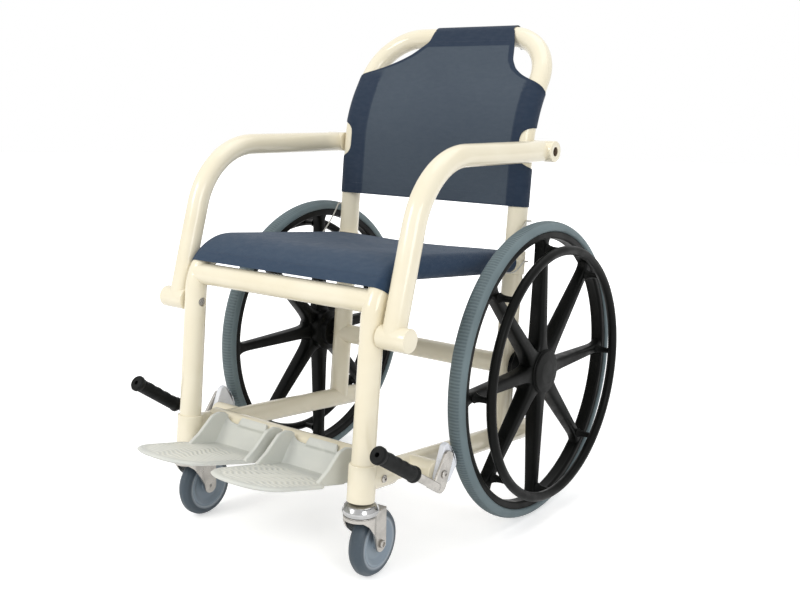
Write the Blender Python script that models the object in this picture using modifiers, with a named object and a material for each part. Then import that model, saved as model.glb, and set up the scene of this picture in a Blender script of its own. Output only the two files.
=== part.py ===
# Pool wheelchair: a tubular plastic frame with a mesh seat and back, two large push wheels,
# two swivel casters, flip-up footrests, flip-back armrests and tyre brakes.
# Metres, +Z up, +Y towards the back, +X towards the sitter's left. The floor is z = 0.
# The side frames are square in themselves and lean back together, so their pieces are placed
# in frame coordinates: u runs back along the rails and w runs up along the posts, both from
# the rear axle.
import math

import bmesh
import bpy
from mathutils import Matrix, Vector

# General fits
GAP = 0.0003
WELD = 0.00001

# Frame tubes
TUBE_RADIUS = 0.0211
FITTING_WALL = 0.0041
LEAN = math.radians(4.9)
POST_X = 0.222
REAR_WHEEL_RADIUS = 0.305
FRONT_POST_U = -0.460
SEAT_RAIL_W = 0.215
SEAT_BEND_RADIUS = 0.090
LOWER_RAIL_END_U = 0.115
CROSSBAR_BEND_ANGLE = math.radians(21.5)
CROSS_TUBE_WALL = 0.0035

# Front fittings, which hold the posts, the lower rails and the caster stems
FITTING_HEIGHT = 0.067
FITTING_RAIL_HEIGHT = 0.040
FITTING_BRANCH = 0.076
POST_SOCKET_DEPTH = 0.010
RAIL_SOCKET_DEPTH = 0.0525

# Back hoop
BACK_BEND_START_W = 0.440
BACK_BEND_ANGLE = math.radians(27.0)
BACK_BEND_RADIUS = 0.260
HOOP_STRAIGHT = 0.034
HOOP_CORNER_RADIUS = 0.108

# Armrests
ARM_POST_GAP = 0.0043
ARM_STUB_W = 0.103
ARM_STUB_LENGTH = 0.083
ARM_LEG_LEAN = math.radians(16.1)
ARM_RISE = 0.441
ARM_BEND_RADIUS = 0.160
ARM_REAR_STUB_REACH = 0.008
ARM_REAR_BORE = 0.009
ARM_REAR_BORE_DEPTH = 0.016
ARM_BOLT_RADIUS = 0.005
ARM_BOLT_HEAD = 0.009
ARM_BOLT_RECESS = 0.008
ARM_BOLT_LENGTH = 0.063

# Footrests
FOOT_TUBE_AHEAD = 0.405
FOOT_TUBE_RISE = 0.0467
FOOT_CENTRE_INSET = 0.1247
FOOT_HALF_WIDTH = 0.0805
FOOT_HEEL_HALF_WIDTH = 0.0918
FOOT_HEEL_INNER_INSET = 0.0060
FOOT_HEEL_OUTER_INSET = 0.0210
FOOT_SLOPE = math.radians(12.9)
FOOT_CREASE_AHEAD = 0.043
FOOT_CREASE_DROP = 0.0285
FOOT_LENGTH = 0.227
FOOT_NOSE = 0.070
FOOT_NOSE_POWER = 2.45
FOOT_PLATE_THICKNESS = 0.0075
FOOT_CHEEK_THICKNESS = 0.005
FOOT_CHEEK_LENGTH = 0.078
FOOT_CHEEK_PEAK_AHEAD = 0.048
FOOT_CHEEK_PEAK_RISE = 0.0315
FOOT_CHEEK_TOE_RISE = 0.019
FOOT_CHEEK_SHOULDER_DROP = 0.006
FOOT_CLIP_WALL = 0.005
FOOT_CLIP_WIDTH = 0.030
FOOT_CLIP_INSET = 0.010

# Rear wheels
WHEEL_POST_GAP = 0.0034
HUB_LENGTH = 0.0715
HUB_TO_TYRE = 0.0495
TYRE_WIDTH = 0.036
TYRE_DEPTH = 0.0200
RIM_WIDTH = 0.028
RIM_DEPTH = 0.016
SPOKES = 8
SPOKE_HUB_WIDTH = 0.029
SPOKE_HUB_DEPTH = 0.038
SPOKE_RIM_WIDTH = 0.018
SPOKE_RIM_DEPTH = 0.025
HUB_RADIUS = 0.046
HUB_NECK_RADIUS = 0.033
HUB_NECK_LENGTH = 0.010
HUB_SHOULDER = 0.006
HUB_CAP_RADIUS = 0.0425
HUB_CAP_THICKNESS = 0.008
AXLE_RADIUS = 0.00635
HANDRIM_OUTBOARD = 0.049
HANDRIM_INSET = 0.045
HANDRIM_TUBE = 0.0095
STANDOFF_RADIUS = 0.006

# Casters
CASTER_RADIUS = 0.0625
CASTER_WIDTH = 0.0286
CASTER_TRAIL = 0.0387
CASTER_YAW = (math.radians(4.0), math.radians(1.0))
CASTER_FORK_GAP = 0.0008
CASTER_ARM_GAP = 0.002
CASTER_HUB_RADIUS = 0.044
CASTER_HUB_WEB = 0.014
CASTER_HUB_FLANGE = 0.004
CASTER_BOLT_RADIUS = 0.004
CASTER_BOLT_HEAD = 0.0075
CASTER_BOLT_HEAD_LENGTH = 0.005
FORK_THICKNESS = 0.003
FORK_ARM_WIDTH = 0.0300
FORK_TOP_RADIUS = 0.031
FORK_WEB_AHEAD = 0.0155
STEM_RADIUS = 0.008
STEM_LENGTH = 0.048
BEARING_CAP_RADIUS = 0.033
BEARING_CAP_HEIGHT = 0.0205

# Brakes
BRAKE_TYRE_DISTANCE = 0.0547
BRAKE_STUB_LENGTH = 0.063
BRAKE_REST_TURN = (0.0, math.radians(2.5))
BRAKE_SHOE_THICKNESS = 0.012
BRAKE_SHOE_REST_GAP = 0.0039
BRAKE_SHOE_LOBE = 0.0067
BRAKE_SHOE_LOBE_START = 40.0
BRAKE_SHOE_LOBE_END = 70.0
BRAKE_SHOE_TOP = (0.0103, 0.0495)
BRAKE_SHOE_HEEL = (-0.0135, -0.0100)
BRAKE_SHOE_FOOT = (0.0260, -0.0258)
BRAKE_LEVER_THICKNESS = 0.006
BRAKE_LEVER_WIDTH = 0.026
BRAKE_LEVER_REACH = 0.031
BRAKE_ELBOW_AHEAD = 0.0183
BRAKE_ELBOW_DROP = 0.0202
BRAKE_LEVER_ANGLE = math.radians(60.0)
BRAKE_HANDLE_ANGLE = math.radians(148.1)
BRAKE_HANDLE_RADIUS = 0.008
BRAKE_HANDLE_LENGTH = 0.2100
BRAKE_GRIP_RADIUS = 0.0138
BRAKE_GRIP_FLANGE = 0.0160
BRAKE_GRIP_LENGTH = 0.124
BRAKE_GRIP_END = 0.004
BRAKE_BOLT_RADIUS = 0.004
BRAKE_BOLT_HEAD = 0.0075
BRAKE_BOLT_HEAD_LENGTH = 0.004
BRAKE_BOLT_DEPTH = 0.018

# Slings
FABRIC_THICKNESS = 0.0015
FABRIC_CLEARANCE = 0.0011
SEAT_FRONT_ANGLE = math.radians(31.0)
SEAT_REAR_GAP = 0.006
SEAT_WRAP_ANGLE = math.radians(200.0)
BACK_ABOVE_EYELET = 0.027
BACK_WRAP_ANGLE = math.radians(205.0)
BACK_SIDE_RISE = 0.012
NECK_HALF_WIDTH = 0.097
NECK_SHIFT = 0.031
NOTCH_HALF_HEIGHT = 0.0425
NOTCH_HALF_WIDTH = 0.026
NOTCH_FORWARD = 0.006
NOTCH_RISE = 0.008
NOTCH_INSET = 0.009

# Small metal parts and cords
EYELET_ABOVE_RAIL = 0.003
EYELET_SPACING = 0.083
EYELET_RING = 0.0045
EYELET_WIRE = 0.0015
EYELET_SHANK = 0.0070
CORD_RADIUS = 0.0015
CORD_REACH = 0.1126
CORD_BOW = 0.0076
RAIL_BOLT_BEHIND = 0.030
RAIL_BOLT_RADIUS = 0.0035
RAIL_BOLT_HEAD = 0.007
RAIL_BOLT_HEAD_LENGTH = 0.004
RAIL_BOLT_DEPTH = 0.012
HEM_SCREW_INSET = 0.0745
HEM_SCREW_RADIUS = 0.004
HEM_SCREW_LENGTH = 0.003

# Mesh fineness
TUBE_SIDES = 12
CUT_SIDES = 16
HUB_STEPS = 20
WHEEL_STEPS = 40
CASTER_STEPS = 24
SMALL_STEPS = 12
FOOT_NOSE_STEPS = 12
ARC_STEP = math.radians(15.0)

# Heights worked out from the sizes above: the casters carry the front fittings, and the
# lower rails, the footrests and the brakes follow those
FITTING_RADIUS = TUBE_RADIUS + FITTING_WALL
AXLE_Z = REAR_WHEEL_RADIUS
FORK_TOP_Z = 2.0 * CASTER_RADIUS + CASTER_FORK_GAP + FORK_THICKNESS
FITTING_LOWEST_Z = FORK_TOP_Z + BEARING_CAP_HEIGHT + 2.0 * GAP
FITTING_BOTTOM_W = ((FITTING_LOWEST_Z - AXLE_Z + (FRONT_POST_U + FITTING_RADIUS) * math.sin(LEAN))
                    / math.cos(LEAN))
FITTING_TOP_W = FITTING_BOTTOM_W + FITTING_HEIGHT
LOWER_RAIL_W = FITTING_BOTTOM_W + FITTING_RAIL_HEIGHT
RAIL_BOLT_U = FRONT_POST_U + RAIL_BOLT_BEHIND
EYELET_LOWER_W = SEAT_RAIL_W + EYELET_ABOVE_RAIL
EYELET_UPPER_W = EYELET_LOWER_W + EYELET_SPACING
BACK_BOTTOM_W = EYELET_UPPER_W + BACK_ABOVE_EYELET
FOOT_TUBE_Z = FITTING_LOWEST_Z + FOOT_TUBE_RISE
FOOT_CREASE_Z = FOOT_TUBE_Z - FOOT_CREASE_DROP
FOOT_CHEEK_PEAK_Z = FOOT_TUBE_Z + FOOT_CHEEK_PEAK_RISE
ARM_HEIGHT = AXLE_Z + ARM_RISE

# Places along the chair; y = 0 is the middle of its length
FOOT_REACH = (FOOT_TUBE_AHEAD + FOOT_CREASE_AHEAD + FOOT_LENGTH * math.cos(FOOT_SLOPE)
              + FOOT_PLATE_THICKNESS * math.sin(FOOT_SLOPE))
AXLE_Y = (FOOT_REACH - REAR_WHEEL_RADIUS) / 2.0
FOOT_TUBE_Y = AXLE_Y - FOOT_TUBE_AHEAD
FOOT_CREASE_Y = FOOT_TUBE_Y - FOOT_CREASE_AHEAD
FOOT_CHEEK_PEAK_Y = FOOT_TUBE_Y - FOOT_CHEEK_PEAK_AHEAD
BRAKE_STUB_U = -math.sqrt((REAR_WHEEL_RADIUS + BRAKE_TYRE_DISTANCE) ** 2 - LOWER_RAIL_W ** 2)

# Places across the chair, outwards from the side frames
ARM_X = POST_X + 2.0 * TUBE_RADIUS + ARM_POST_GAP
ARM_STUB_END_X = POST_X + ARM_STUB_LENGTH
ARM_REAR_STUB_END_X = ARM_X + TUBE_RADIUS + ARM_REAR_STUB_REACH
ARM_BOLT_REACH = POST_X + ARM_BOLT_LENGTH
HUB_INNER_X = POST_X + TUBE_RADIUS + WHEEL_POST_GAP
HUB_OUTER_X = HUB_INNER_X + HUB_LENGTH
TYRE_X = HUB_INNER_X + HUB_TO_TYRE
HANDRIM_X = TYRE_X + HANDRIM_OUTBOARD
HANDRIM_RADIUS = REAR_WHEEL_RADIUS - HANDRIM_INSET
RIM_OUTER_RADIUS = REAR_WHEEL_RADIUS - TYRE_DEPTH - GAP
RIM_INNER_RADIUS = RIM_OUTER_RADIUS - RIM_DEPTH
BRAKE_STUB_END_X = POST_X + BRAKE_STUB_LENGTH
BRAKE_SHOE_X = BRAKE_STUB_END_X + GAP
BRAKE_LEVER_X = BRAKE_SHOE_X + BRAKE_SHOE_THICKNESS + GAP
BRAKE_HANDLE_X = BRAKE_LEVER_X + BRAKE_HANDLE_RADIUS + 3.0 * GAP
FOOT_CENTRE_X = POST_X - FOOT_CENTRE_INSET
FOOT_INNER_X = FOOT_CENTRE_X - FOOT_HEEL_HALF_WIDTH + FOOT_HEEL_INNER_INSET
FOOT_HEEL_X = FOOT_CENTRE_X + FOOT_HEEL_HALF_WIDTH - FOOT_HEEL_OUTER_INSET
NECK_LEFT_X = NECK_SHIFT + NECK_HALF_WIDTH
NECK_RIGHT_X = NECK_SHIFT - NECK_HALF_WIDTH
NOTCH_INNER_X = POST_X - NOTCH_INSET
HEM_SCREW_X = POST_X - HEM_SCREW_INSET

SIDES = tuple(zip("LR", (1.0, -1.0)))

FINISHES = {
    "frame_plastic": ((0.83, 0.79, 0.68), 0.35, 0.0),
    "seat_fabric": ((0.085, 0.115, 0.165), 0.85, 0.0),
    "tyre_grey": ((0.13, 0.165, 0.185), 0.75, 0.0),
    "wheel_black": ((0.012, 0.012, 0.012), 0.45, 0.0),
    "stainless": ((0.56, 0.54, 0.50), 0.30, 1.0),
    "chrome": ((0.75, 0.75, 0.75), 0.10, 1.0),
    "caster_tyre": ((0.045, 0.055, 0.065), 0.60, 0.0),
    "caster_hub": ((0.22, 0.26, 0.32), 0.45, 0.0),
    "foot_grey": ((0.58, 0.61, 0.60), 0.50, 0.0),
    "grip_black": ((0.015, 0.017, 0.018), 0.65, 0.0),
    "shoe_white": ((0.80, 0.81, 0.84), 0.45, 0.0),
    "cord_grey": ((0.55, 0.55, 0.53), 0.70, 0.0),
}


def frame_point(x, u, w):
    """World point of frame coordinates x, u, w."""
    y = AXLE_Y + u * math.cos(LEAN) + w * math.sin(LEAN)
    z = AXLE_Z - u * math.sin(LEAN) + w * math.cos(LEAN)
    return Vector((x, y, z))


def start_scene():
    """Empty the scene and make the two collections."""
    for item in list(bpy.data.objects):
        bpy.data.objects.remove(item, do_unlink=True)
    parts = bpy.data.collections.new("pool_wheelchair")
    cutters = bpy.data.collections.new("cutters")
    bpy.context.scene.collection.children.link(parts)
    bpy.context.scene.collection.children.link(cutters)
    return parts, cutters


PARTS, CUTTERS = start_scene()


def material(name):
    """The named finish as a Principled material, made once."""
    found = bpy.data.materials.get(name)
    if found:
        return found
    colour, roughness, metallic = FINISHES[name]
    made = bpy.data.materials.new(name)
    made.use_nodes = True
    shader = made.node_tree.nodes["Principled BSDF"]
    shader.inputs["Base Color"].default_value = (*colour, 1.0)
    shader.inputs["Roughness"].default_value = roughness
    shader.inputs["Metallic"].default_value = metallic
    return made


def own_material(item, finish):
    """Give an object its own copy of a finish, named for the object."""
    made = material(finish).copy()
    made.name = item.name + "_" + finish
    item.data.materials.clear()
    item.data.materials.append(made)


def move_to(item, collection):
    """Keep an object in one collection only."""
    for owner in list(item.users_collection):
        owner.objects.unlink(item)
    collection.objects.link(item)


def mesh_object(name, mesh):
    """An object for a mesh, in the parts collection."""
    item = bpy.data.objects.new(name, mesh)
    PARTS.objects.link(item)
    return item


def as_cutter(item):
    """Turn an object into a hidden cutter."""
    move_to(item, CUTTERS)
    item.hide_render = True
    item.display_type = "WIRE"
    return item


def boolean(item, tool, operation):
    """Add an exact Boolean of one tool to an object."""
    change = item.modifiers.new(operation.lower() + "_" + tool.name, "BOOLEAN")
    change.operation = operation
    change.solver = "EXACT"
    change.object = tool
    return item


def cut(item, *tools):
    """Take each tool away from an object."""
    for tool in tools:
        boolean(item, tool, "DIFFERENCE")
    return item


def join(item, *tools):
    """Fuse each tool to an object; the tools become hidden helpers."""
    for tool in tools:
        as_cutter(tool)
        boolean(item, tool, "UNION")
    return item


def joint_empty(name, location, yaw=0.0, parent=None):
    """An empty on a joint's axis, which carries the pieces that move with it."""
    item = bpy.data.objects.new(name, None)
    item.empty_display_size = 0.03
    PARTS.objects.link(item)
    item.parent = parent
    item.location = location
    item.rotation_euler = (0.0, 0.0, yaw)
    return item


def carry(empty, *items):
    """Parent world-placed pieces to an unturned empty without moving them."""
    for item in items:
        item.parent = empty
        item.location = item.location - empty.location


def carry_local(empty, *items):
    """Parent pieces that were built around the empty's own origin."""
    for item in items:
        item.parent = empty


def rounded_path(corners, radii):
    """A polyline through corners, each inner corner turned into an arc of its radius."""
    points = [Vector(corners[0])]
    for k in range(1, len(corners) - 1):
        before = (Vector(corners[k - 1]) - Vector(corners[k])).normalized()
        after = (Vector(corners[k + 1]) - Vector(corners[k])).normalized()
        turn = math.pi - before.angle(after)
        tangent = radii[k - 1] * math.tan(turn / 2.0)
        start = Vector(corners[k]) + before * tangent
        middle = (before + after).normalized()
        centre = Vector(corners[k]) + middle * (radii[k - 1] / math.cos(turn / 2.0))
        axis = (start - centre).cross(-before).normalized()
        steps = max(2, math.ceil(turn / ARC_STEP))
        for n in range(steps + 1):
            turned = Matrix.Rotation(turn * n / steps, 3, axis) @ (start - centre)
            points.append(centre + turned)
    points.append(Vector(corners[-1]))
    return points


def smooth_path(points, spacing):
    """A curve through a cord's points, as close points on a Catmull-Rom spline."""
    ends = [points[0] * 2.0 - points[1]] + list(points) + [points[-1] * 2.0 - points[-2]]
    made = [points[0].copy()]
    for k in range(1, len(ends) - 2):
        a, b, c, d = ends[k - 1], ends[k], ends[k + 1], ends[k + 2]
        steps = max(1, round((c - b).length / spacing))
        for n in range(1, steps + 1):
            t = n / steps
            made.append(0.5 * (2.0 * b + (c - a) * t + (2.0 * a - 5.0 * b + 4.0 * c - d) * t * t
                               + (3.0 * b - 3.0 * c + d - a) * t * t * t))
    return made


def tube(name, points, radius, sides=TUBE_SIDES):
    """A capped round tube along points, made as a bevelled curve and turned into a mesh."""
    curve = bpy.data.curves.new(name + "_curve", "CURVE")
    curve.dimensions = "3D"
    curve.bevel_depth = radius
    curve.bevel_resolution = (sides - 4) // 2
    curve.use_fill_caps = True
    spline = curve.splines.new("POLY")
    spline.points.add(len(points) - 1)
    for place, point in zip(spline.points, points):
        place.co = (*point, 1.0)
    drawn = bpy.data.objects.new(name + "_curve", curve)
    PARTS.objects.link(drawn)
    bpy.context.view_layer.update()
    graph = bpy.context.evaluated_depsgraph_get()
    mesh = bpy.data.meshes.new_from_object(drawn.evaluated_get(graph))
    mesh.name = name
    work = bmesh.new()
    work.from_mesh(mesh)
    bmesh.ops.remove_doubles(work, verts=work.verts, dist=WELD)
    bmesh.ops.recalc_face_normals(work, faces=work.faces)
    work.to_mesh(mesh)
    work.free()
    item = mesh_object(name, mesh)
    item.matrix_world = drawn.matrix_world
    bpy.data.objects.remove(drawn, do_unlink=True)
    return item


def clearance_tube(name, points, radius):
    """A cutter along points that leaves the standard gap round a tube of this radius."""
    wide = (radius + GAP) / math.cos(math.pi / CUT_SIDES)
    return as_cutter(tube(name, points, wide, CUT_SIDES))


def rod(name, start, end, radius, sides=SMALL_STEPS):
    """A straight cylinder between two points."""
    start, end = Vector(start), Vector(end)
    bpy.ops.mesh.primitive_cylinder_add(vertices=sides, radius=radius, depth=(end - start).length)
    item = bpy.context.object
    item.name = name
    item.data.name = name
    move_to(item, PARTS)
    item.rotation_mode = "QUATERNION"
    item.rotation_quaternion = (end - start).to_track_quat("Z", "Y")
    item.location = (start + end) / 2.0
    return item


def bore(name, start, end, radius, sides=SMALL_STEPS):
    """A cutter for a round hole with clearance round a rod of this radius."""
    return as_cutter(rod(name, start, end, (radius + GAP) / math.cos(math.pi / sides), sides))


def turned(name, profile, steps, centre, side=1.0, closed=True):
    """A shape turned about the X direction.

    The profile lists radius and distance outwards along X; it runs round the section so that
    its outer side goes from outboard to inboard. An open profile starts and ends on the axis.
    The turning starts half a step round, so that a flat lies at the bottom.
    """
    mesh = bpy.data.meshes.new(name)
    count = len(profile)
    edges = [(k, (k + 1) % count) for k in range(count if closed else count - 1)]
    lead = math.pi / steps
    mesh.from_pydata([(radius * math.cos(lead), radius * math.sin(lead), out) for radius, out in profile],
                     edges, [])
    item = mesh_object(name, mesh)
    spin = item.modifiers.new("turn", "SCREW")
    spin.axis = "Z"
    spin.angle = 2.0 * math.pi
    spin.steps = steps
    spin.render_steps = steps
    spin.use_merge_vertices = True
    spin.merge_threshold = WELD
    spin.use_smooth_shade = False
    item.rotation_euler = (0.0, side * math.pi / 2.0, 0.0)
    item.location = centre
    return item


def plate(name, outline, thickness, place):
    """A flat plate from a closed outline, filled and extruded both ways, then placed."""
    curve = bpy.data.curves.new(name + "_curve", "CURVE")
    curve.dimensions = "2D"
    curve.fill_mode = "BOTH"
    curve.extrude = thickness / 2.0
    spline = curve.splines.new("POLY")
    spline.points.add(len(outline) - 1)
    for spot, point in zip(spline.points, outline):
        spot.co = (point[0], point[1], 0.0, 1.0)
    spline.use_cyclic_u = True
    drawn = bpy.data.objects.new(name + "_curve", curve)
    PARTS.objects.link(drawn)
    drawn.matrix_world = place
    bpy.context.view_layer.update()
    graph = bpy.context.evaluated_depsgraph_get()
    mesh = bpy.data.meshes.new_from_object(drawn.evaluated_get(graph))
    mesh.name = name
    work = bmesh.new()
    work.from_mesh(mesh)
    bmesh.ops.remove_doubles(work, verts=work.verts, dist=WELD)
    bmesh.ops.recalc_face_normals(work, faces=work.faces)
    work.to_mesh(mesh)
    work.free()
    item = mesh_object(name, mesh)
    item.matrix_world = drawn.matrix_world
    bpy.data.objects.remove(drawn, do_unlink=True)
    return item


def upright_plate(name, outline, thickness, x):
    """A plate that stands across X; its outline is in world y and z."""
    turn = Matrix(((0.0, 0.0, 1.0, x), (1.0, 0.0, 0.0, 0.0), (0.0, 1.0, 0.0, 0.0), (0.0, 0.0, 0.0, 1.0)))
    return plate(name, outline, thickness, turn)


def arc(centre, radius, start, end, steps):
    """Points of an arc in a plane, from one angle to another."""
    angles = [start + (end - start) * n / steps for n in range(steps + 1)]
    return [(centre[0] + radius * math.cos(a), centre[1] + radius * math.sin(a)) for a in angles]


def side_path(side):
    """Axis of a front post that bends back into its seat rail, from its foot to the rear post."""
    corners = [(POST_X * side, FRONT_POST_U, FITTING_TOP_W - POST_SOCKET_DEPTH),
               (POST_X * side, FRONT_POST_U, SEAT_RAIL_W),
               (POST_X * side, 0.0, SEAT_RAIL_W)]
    return [frame_point(*p) for p in rounded_path(corners, [SEAT_BEND_RADIUS])]


def hoop_corners():
    """Corners of the back hoop in frame coordinates, from the left foot to the right foot."""
    corner_w = BACK_BEND_START_W + BACK_BEND_RADIUS * math.tan(BACK_BEND_ANGLE / 2.0)
    rise = corner_w - BACK_BEND_START_W + HOOP_STRAIGHT + HOOP_CORNER_RADIUS
    top_u = rise * math.sin(BACK_BEND_ANGLE)
    top_w = corner_w + rise * math.cos(BACK_BEND_ANGLE)
    left = [(POST_X, 0.0, LOWER_RAIL_W), (POST_X, 0.0, corner_w), (POST_X, top_u, top_w)]
    return left + [(-x, u, w) for x, u, w in reversed(left)]


def hoop_path():
    """Axis of the back hoop as world points."""
    radii = [BACK_BEND_RADIUS, HOOP_CORNER_RADIUS, HOOP_CORNER_RADIUS, BACK_BEND_RADIUS]
    return [frame_point(*p) for p in rounded_path(hoop_corners(), radii)]


def arm_path(side):
    """Axis of an armrest from its foot on the front stub to its end in the rear stub."""
    foot = frame_point(ARM_X * side, FRONT_POST_U, ARM_STUB_W)
    rise = ARM_HEIGHT - foot.z
    corner = Vector((foot.x, foot.y + rise * math.tan(ARM_LEG_LEAN), ARM_HEIGHT))
    tail = Vector((foot.x, arm_crossing().y, ARM_HEIGHT))
    return rounded_path([foot, corner, tail], [ARM_BEND_RADIUS])


def arm_crossing():
    """Point in the middle plane where the rear posts' axes reach the height of the arms' runs."""
    return frame_point(0.0, 0.0, (ARM_HEIGHT - AXLE_Z) / math.cos(LEAN))


def arm_pivot():
    """Point in the middle plane on the armrests' pivot axis."""
    return frame_point(0.0, FRONT_POST_U, ARM_STUB_W)


def brake_pivot():
    """World y and z of the brakes' pivot, on the axis of the stub."""
    return frame_point(0.0, BRAKE_STUB_U, LOWER_RAIL_W)


def swivel_point(side):
    """World point of a caster's swivel axis, on the middle of the fitting's bottom face."""
    return frame_point(POST_X * side, FRONT_POST_U, FITTING_BOTTOM_W)


def finish(item, name):
    """Give an object its finish and hand it back."""
    own_material(item, name)
    return item


def build_side_tubes(cutters):
    """Front posts with their seat rails, coped to the rear posts."""
    for tag, side in SIDES:
        item = finish(tube("front_post_rail_" + tag, side_path(side), TUBE_RADIUS), "frame_plastic")
        cut(item, cutters["rear_post_" + tag], cutters["arm_bolt_" + tag], cutters["arm_recess_" + tag])


def build_cross_tubes(cutters):
    """The three tubes that tie the side frames together."""
    bend_centre_u = FRONT_POST_U + SEAT_BEND_RADIUS
    bend_centre_w = SEAT_RAIL_W - SEAT_BEND_RADIUS
    u = bend_centre_u - SEAT_BEND_RADIUS * math.cos(CROSSBAR_BEND_ANGLE)
    w = bend_centre_w + SEAT_BEND_RADIUS * math.sin(CROSSBAR_BEND_ANGLE)
    ends = [frame_point(POST_X, u, w), frame_point(-POST_X, u, w)]
    item = finish(rod("seat_crossbar", *ends, TUBE_RADIUS, TUBE_SIDES), "frame_plastic")
    cut(item, cutters["front_post_L"], cutters["front_post_R"])

    ends = [frame_point(POST_X, 0.0, 0.0), frame_point(-POST_X, 0.0, 0.0)]
    item = finish(rod("rear_cross_tube", *ends, TUBE_RADIUS, TUBE_SIDES), "frame_plastic")
    wide = (POST_X + TUBE_RADIUS) * Vector((1.0, 0.0, 0.0))
    centre = frame_point(0.0, 0.0, 0.0)
    bore_radius = TUBE_RADIUS - CROSS_TUBE_WALL
    hollow = as_cutter(rod("rear_tube_bore", centre + wide, centre - wide, bore_radius))
    cut(item, hollow, cutters["rear_post_L"], cutters["rear_post_R"])

    ends = [(POST_X, FOOT_TUBE_Y, FOOT_TUBE_Z), (-POST_X, FOOT_TUBE_Y, FOOT_TUBE_Z)]
    item = finish(rod("footrest_tube", *ends, TUBE_RADIUS, TUBE_SIDES), "frame_plastic")
    cut(item, cutters["branch_L"], cutters["branch_R"], cutters["lower_rail_L"], cutters["lower_rail_R"])


def build_fittings(cutters):
    """Front tee fittings at the posts' feet."""
    for tag, side in SIDES:
        x = POST_X * side
        top = frame_point(x, FRONT_POST_U, FITTING_TOP_W)
        bottom = frame_point(x, FRONT_POST_U, FITTING_BOTTOM_W)
        item = finish(rod("front_fitting_" + tag, bottom, top, FITTING_RADIUS, HUB_STEPS), "frame_plastic")
        inner = frame_point(x, FRONT_POST_U, LOWER_RAIL_W)
        outer = frame_point(x, FRONT_POST_U + FITTING_BRANCH, LOWER_RAIL_W)
        join(item, rod("fitting_branch_" + tag, inner, outer, FITTING_RADIUS, HUB_STEPS))
        floor = frame_point(x, FRONT_POST_U, FITTING_TOP_W - POST_SOCKET_DEPTH - GAP)
        above = frame_point(x, FRONT_POST_U, FITTING_TOP_W + FITTING_RADIUS)
        socket = as_cutter(rod("post_socket_" + tag, floor, above,
                               (TUBE_RADIUS + GAP) / math.cos(math.pi / CUT_SIDES), CUT_SIDES))
        back = frame_point(x, FRONT_POST_U + FITTING_BRANCH - RAIL_SOCKET_DEPTH, LOWER_RAIL_W)
        beyond = frame_point(x, FRONT_POST_U + 2.0 * FITTING_BRANCH, LOWER_RAIL_W)
        rail_socket = as_cutter(rod("rail_socket_" + tag, back, beyond,
                                    (TUBE_RADIUS + GAP) / math.cos(math.pi / CUT_SIDES), CUT_SIDES))
        pivot = swivel_point(side)
        low = Vector((pivot.x, pivot.y, FORK_TOP_Z))
        high = Vector((pivot.x, pivot.y, FORK_TOP_Z + STEM_LENGTH + GAP))
        cut(item, socket, rail_socket, bore("stem_bore_" + tag, low, high, STEM_RADIUS),
            cutters["rail_bolt_" + tag])


def build_lower_rails(cutters):
    """Lower side rails, from the front fittings past the rear posts."""
    start_u = FRONT_POST_U + FITTING_BRANCH - RAIL_SOCKET_DEPTH + GAP
    for tag, side in SIDES:
        ends = [frame_point(POST_X * side, start_u, LOWER_RAIL_W),
                frame_point(POST_X * side, LOWER_RAIL_END_U, LOWER_RAIL_W)]
        item = finish(rod("lower_rail_" + tag, *ends, TUBE_RADIUS, TUBE_SIDES), "frame_plastic")
        cut(item, cutters["rail_bolt_" + tag])


def build_back_hoop(cutters):
    """Rear posts and back hoop in one bent tube, drilled for the axle."""
    item = finish(tube("back_hoop", hoop_path(), TUBE_RADIUS), "frame_plastic")
    cut(item, cutters["lower_rail_L"], cutters["lower_rail_R"], cutters["axle"])


def build_brake_stubs(cutters):
    """Stubs that stand out from the lower rails and hold the brakes."""
    for tag, side in SIDES:
        pivot = brake_pivot()
        inner = Vector((POST_X * side, pivot.y, pivot.z))
        outer = Vector((BRAKE_STUB_END_X * side, pivot.y, pivot.z))
        item = finish(rod("brake_stub_" + tag, inner, outer, TUBE_RADIUS, CUT_SIDES), "frame_plastic")
        cut(item, cutters["lower_rail_" + tag], cutters["brake_bolt_" + tag])


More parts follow.
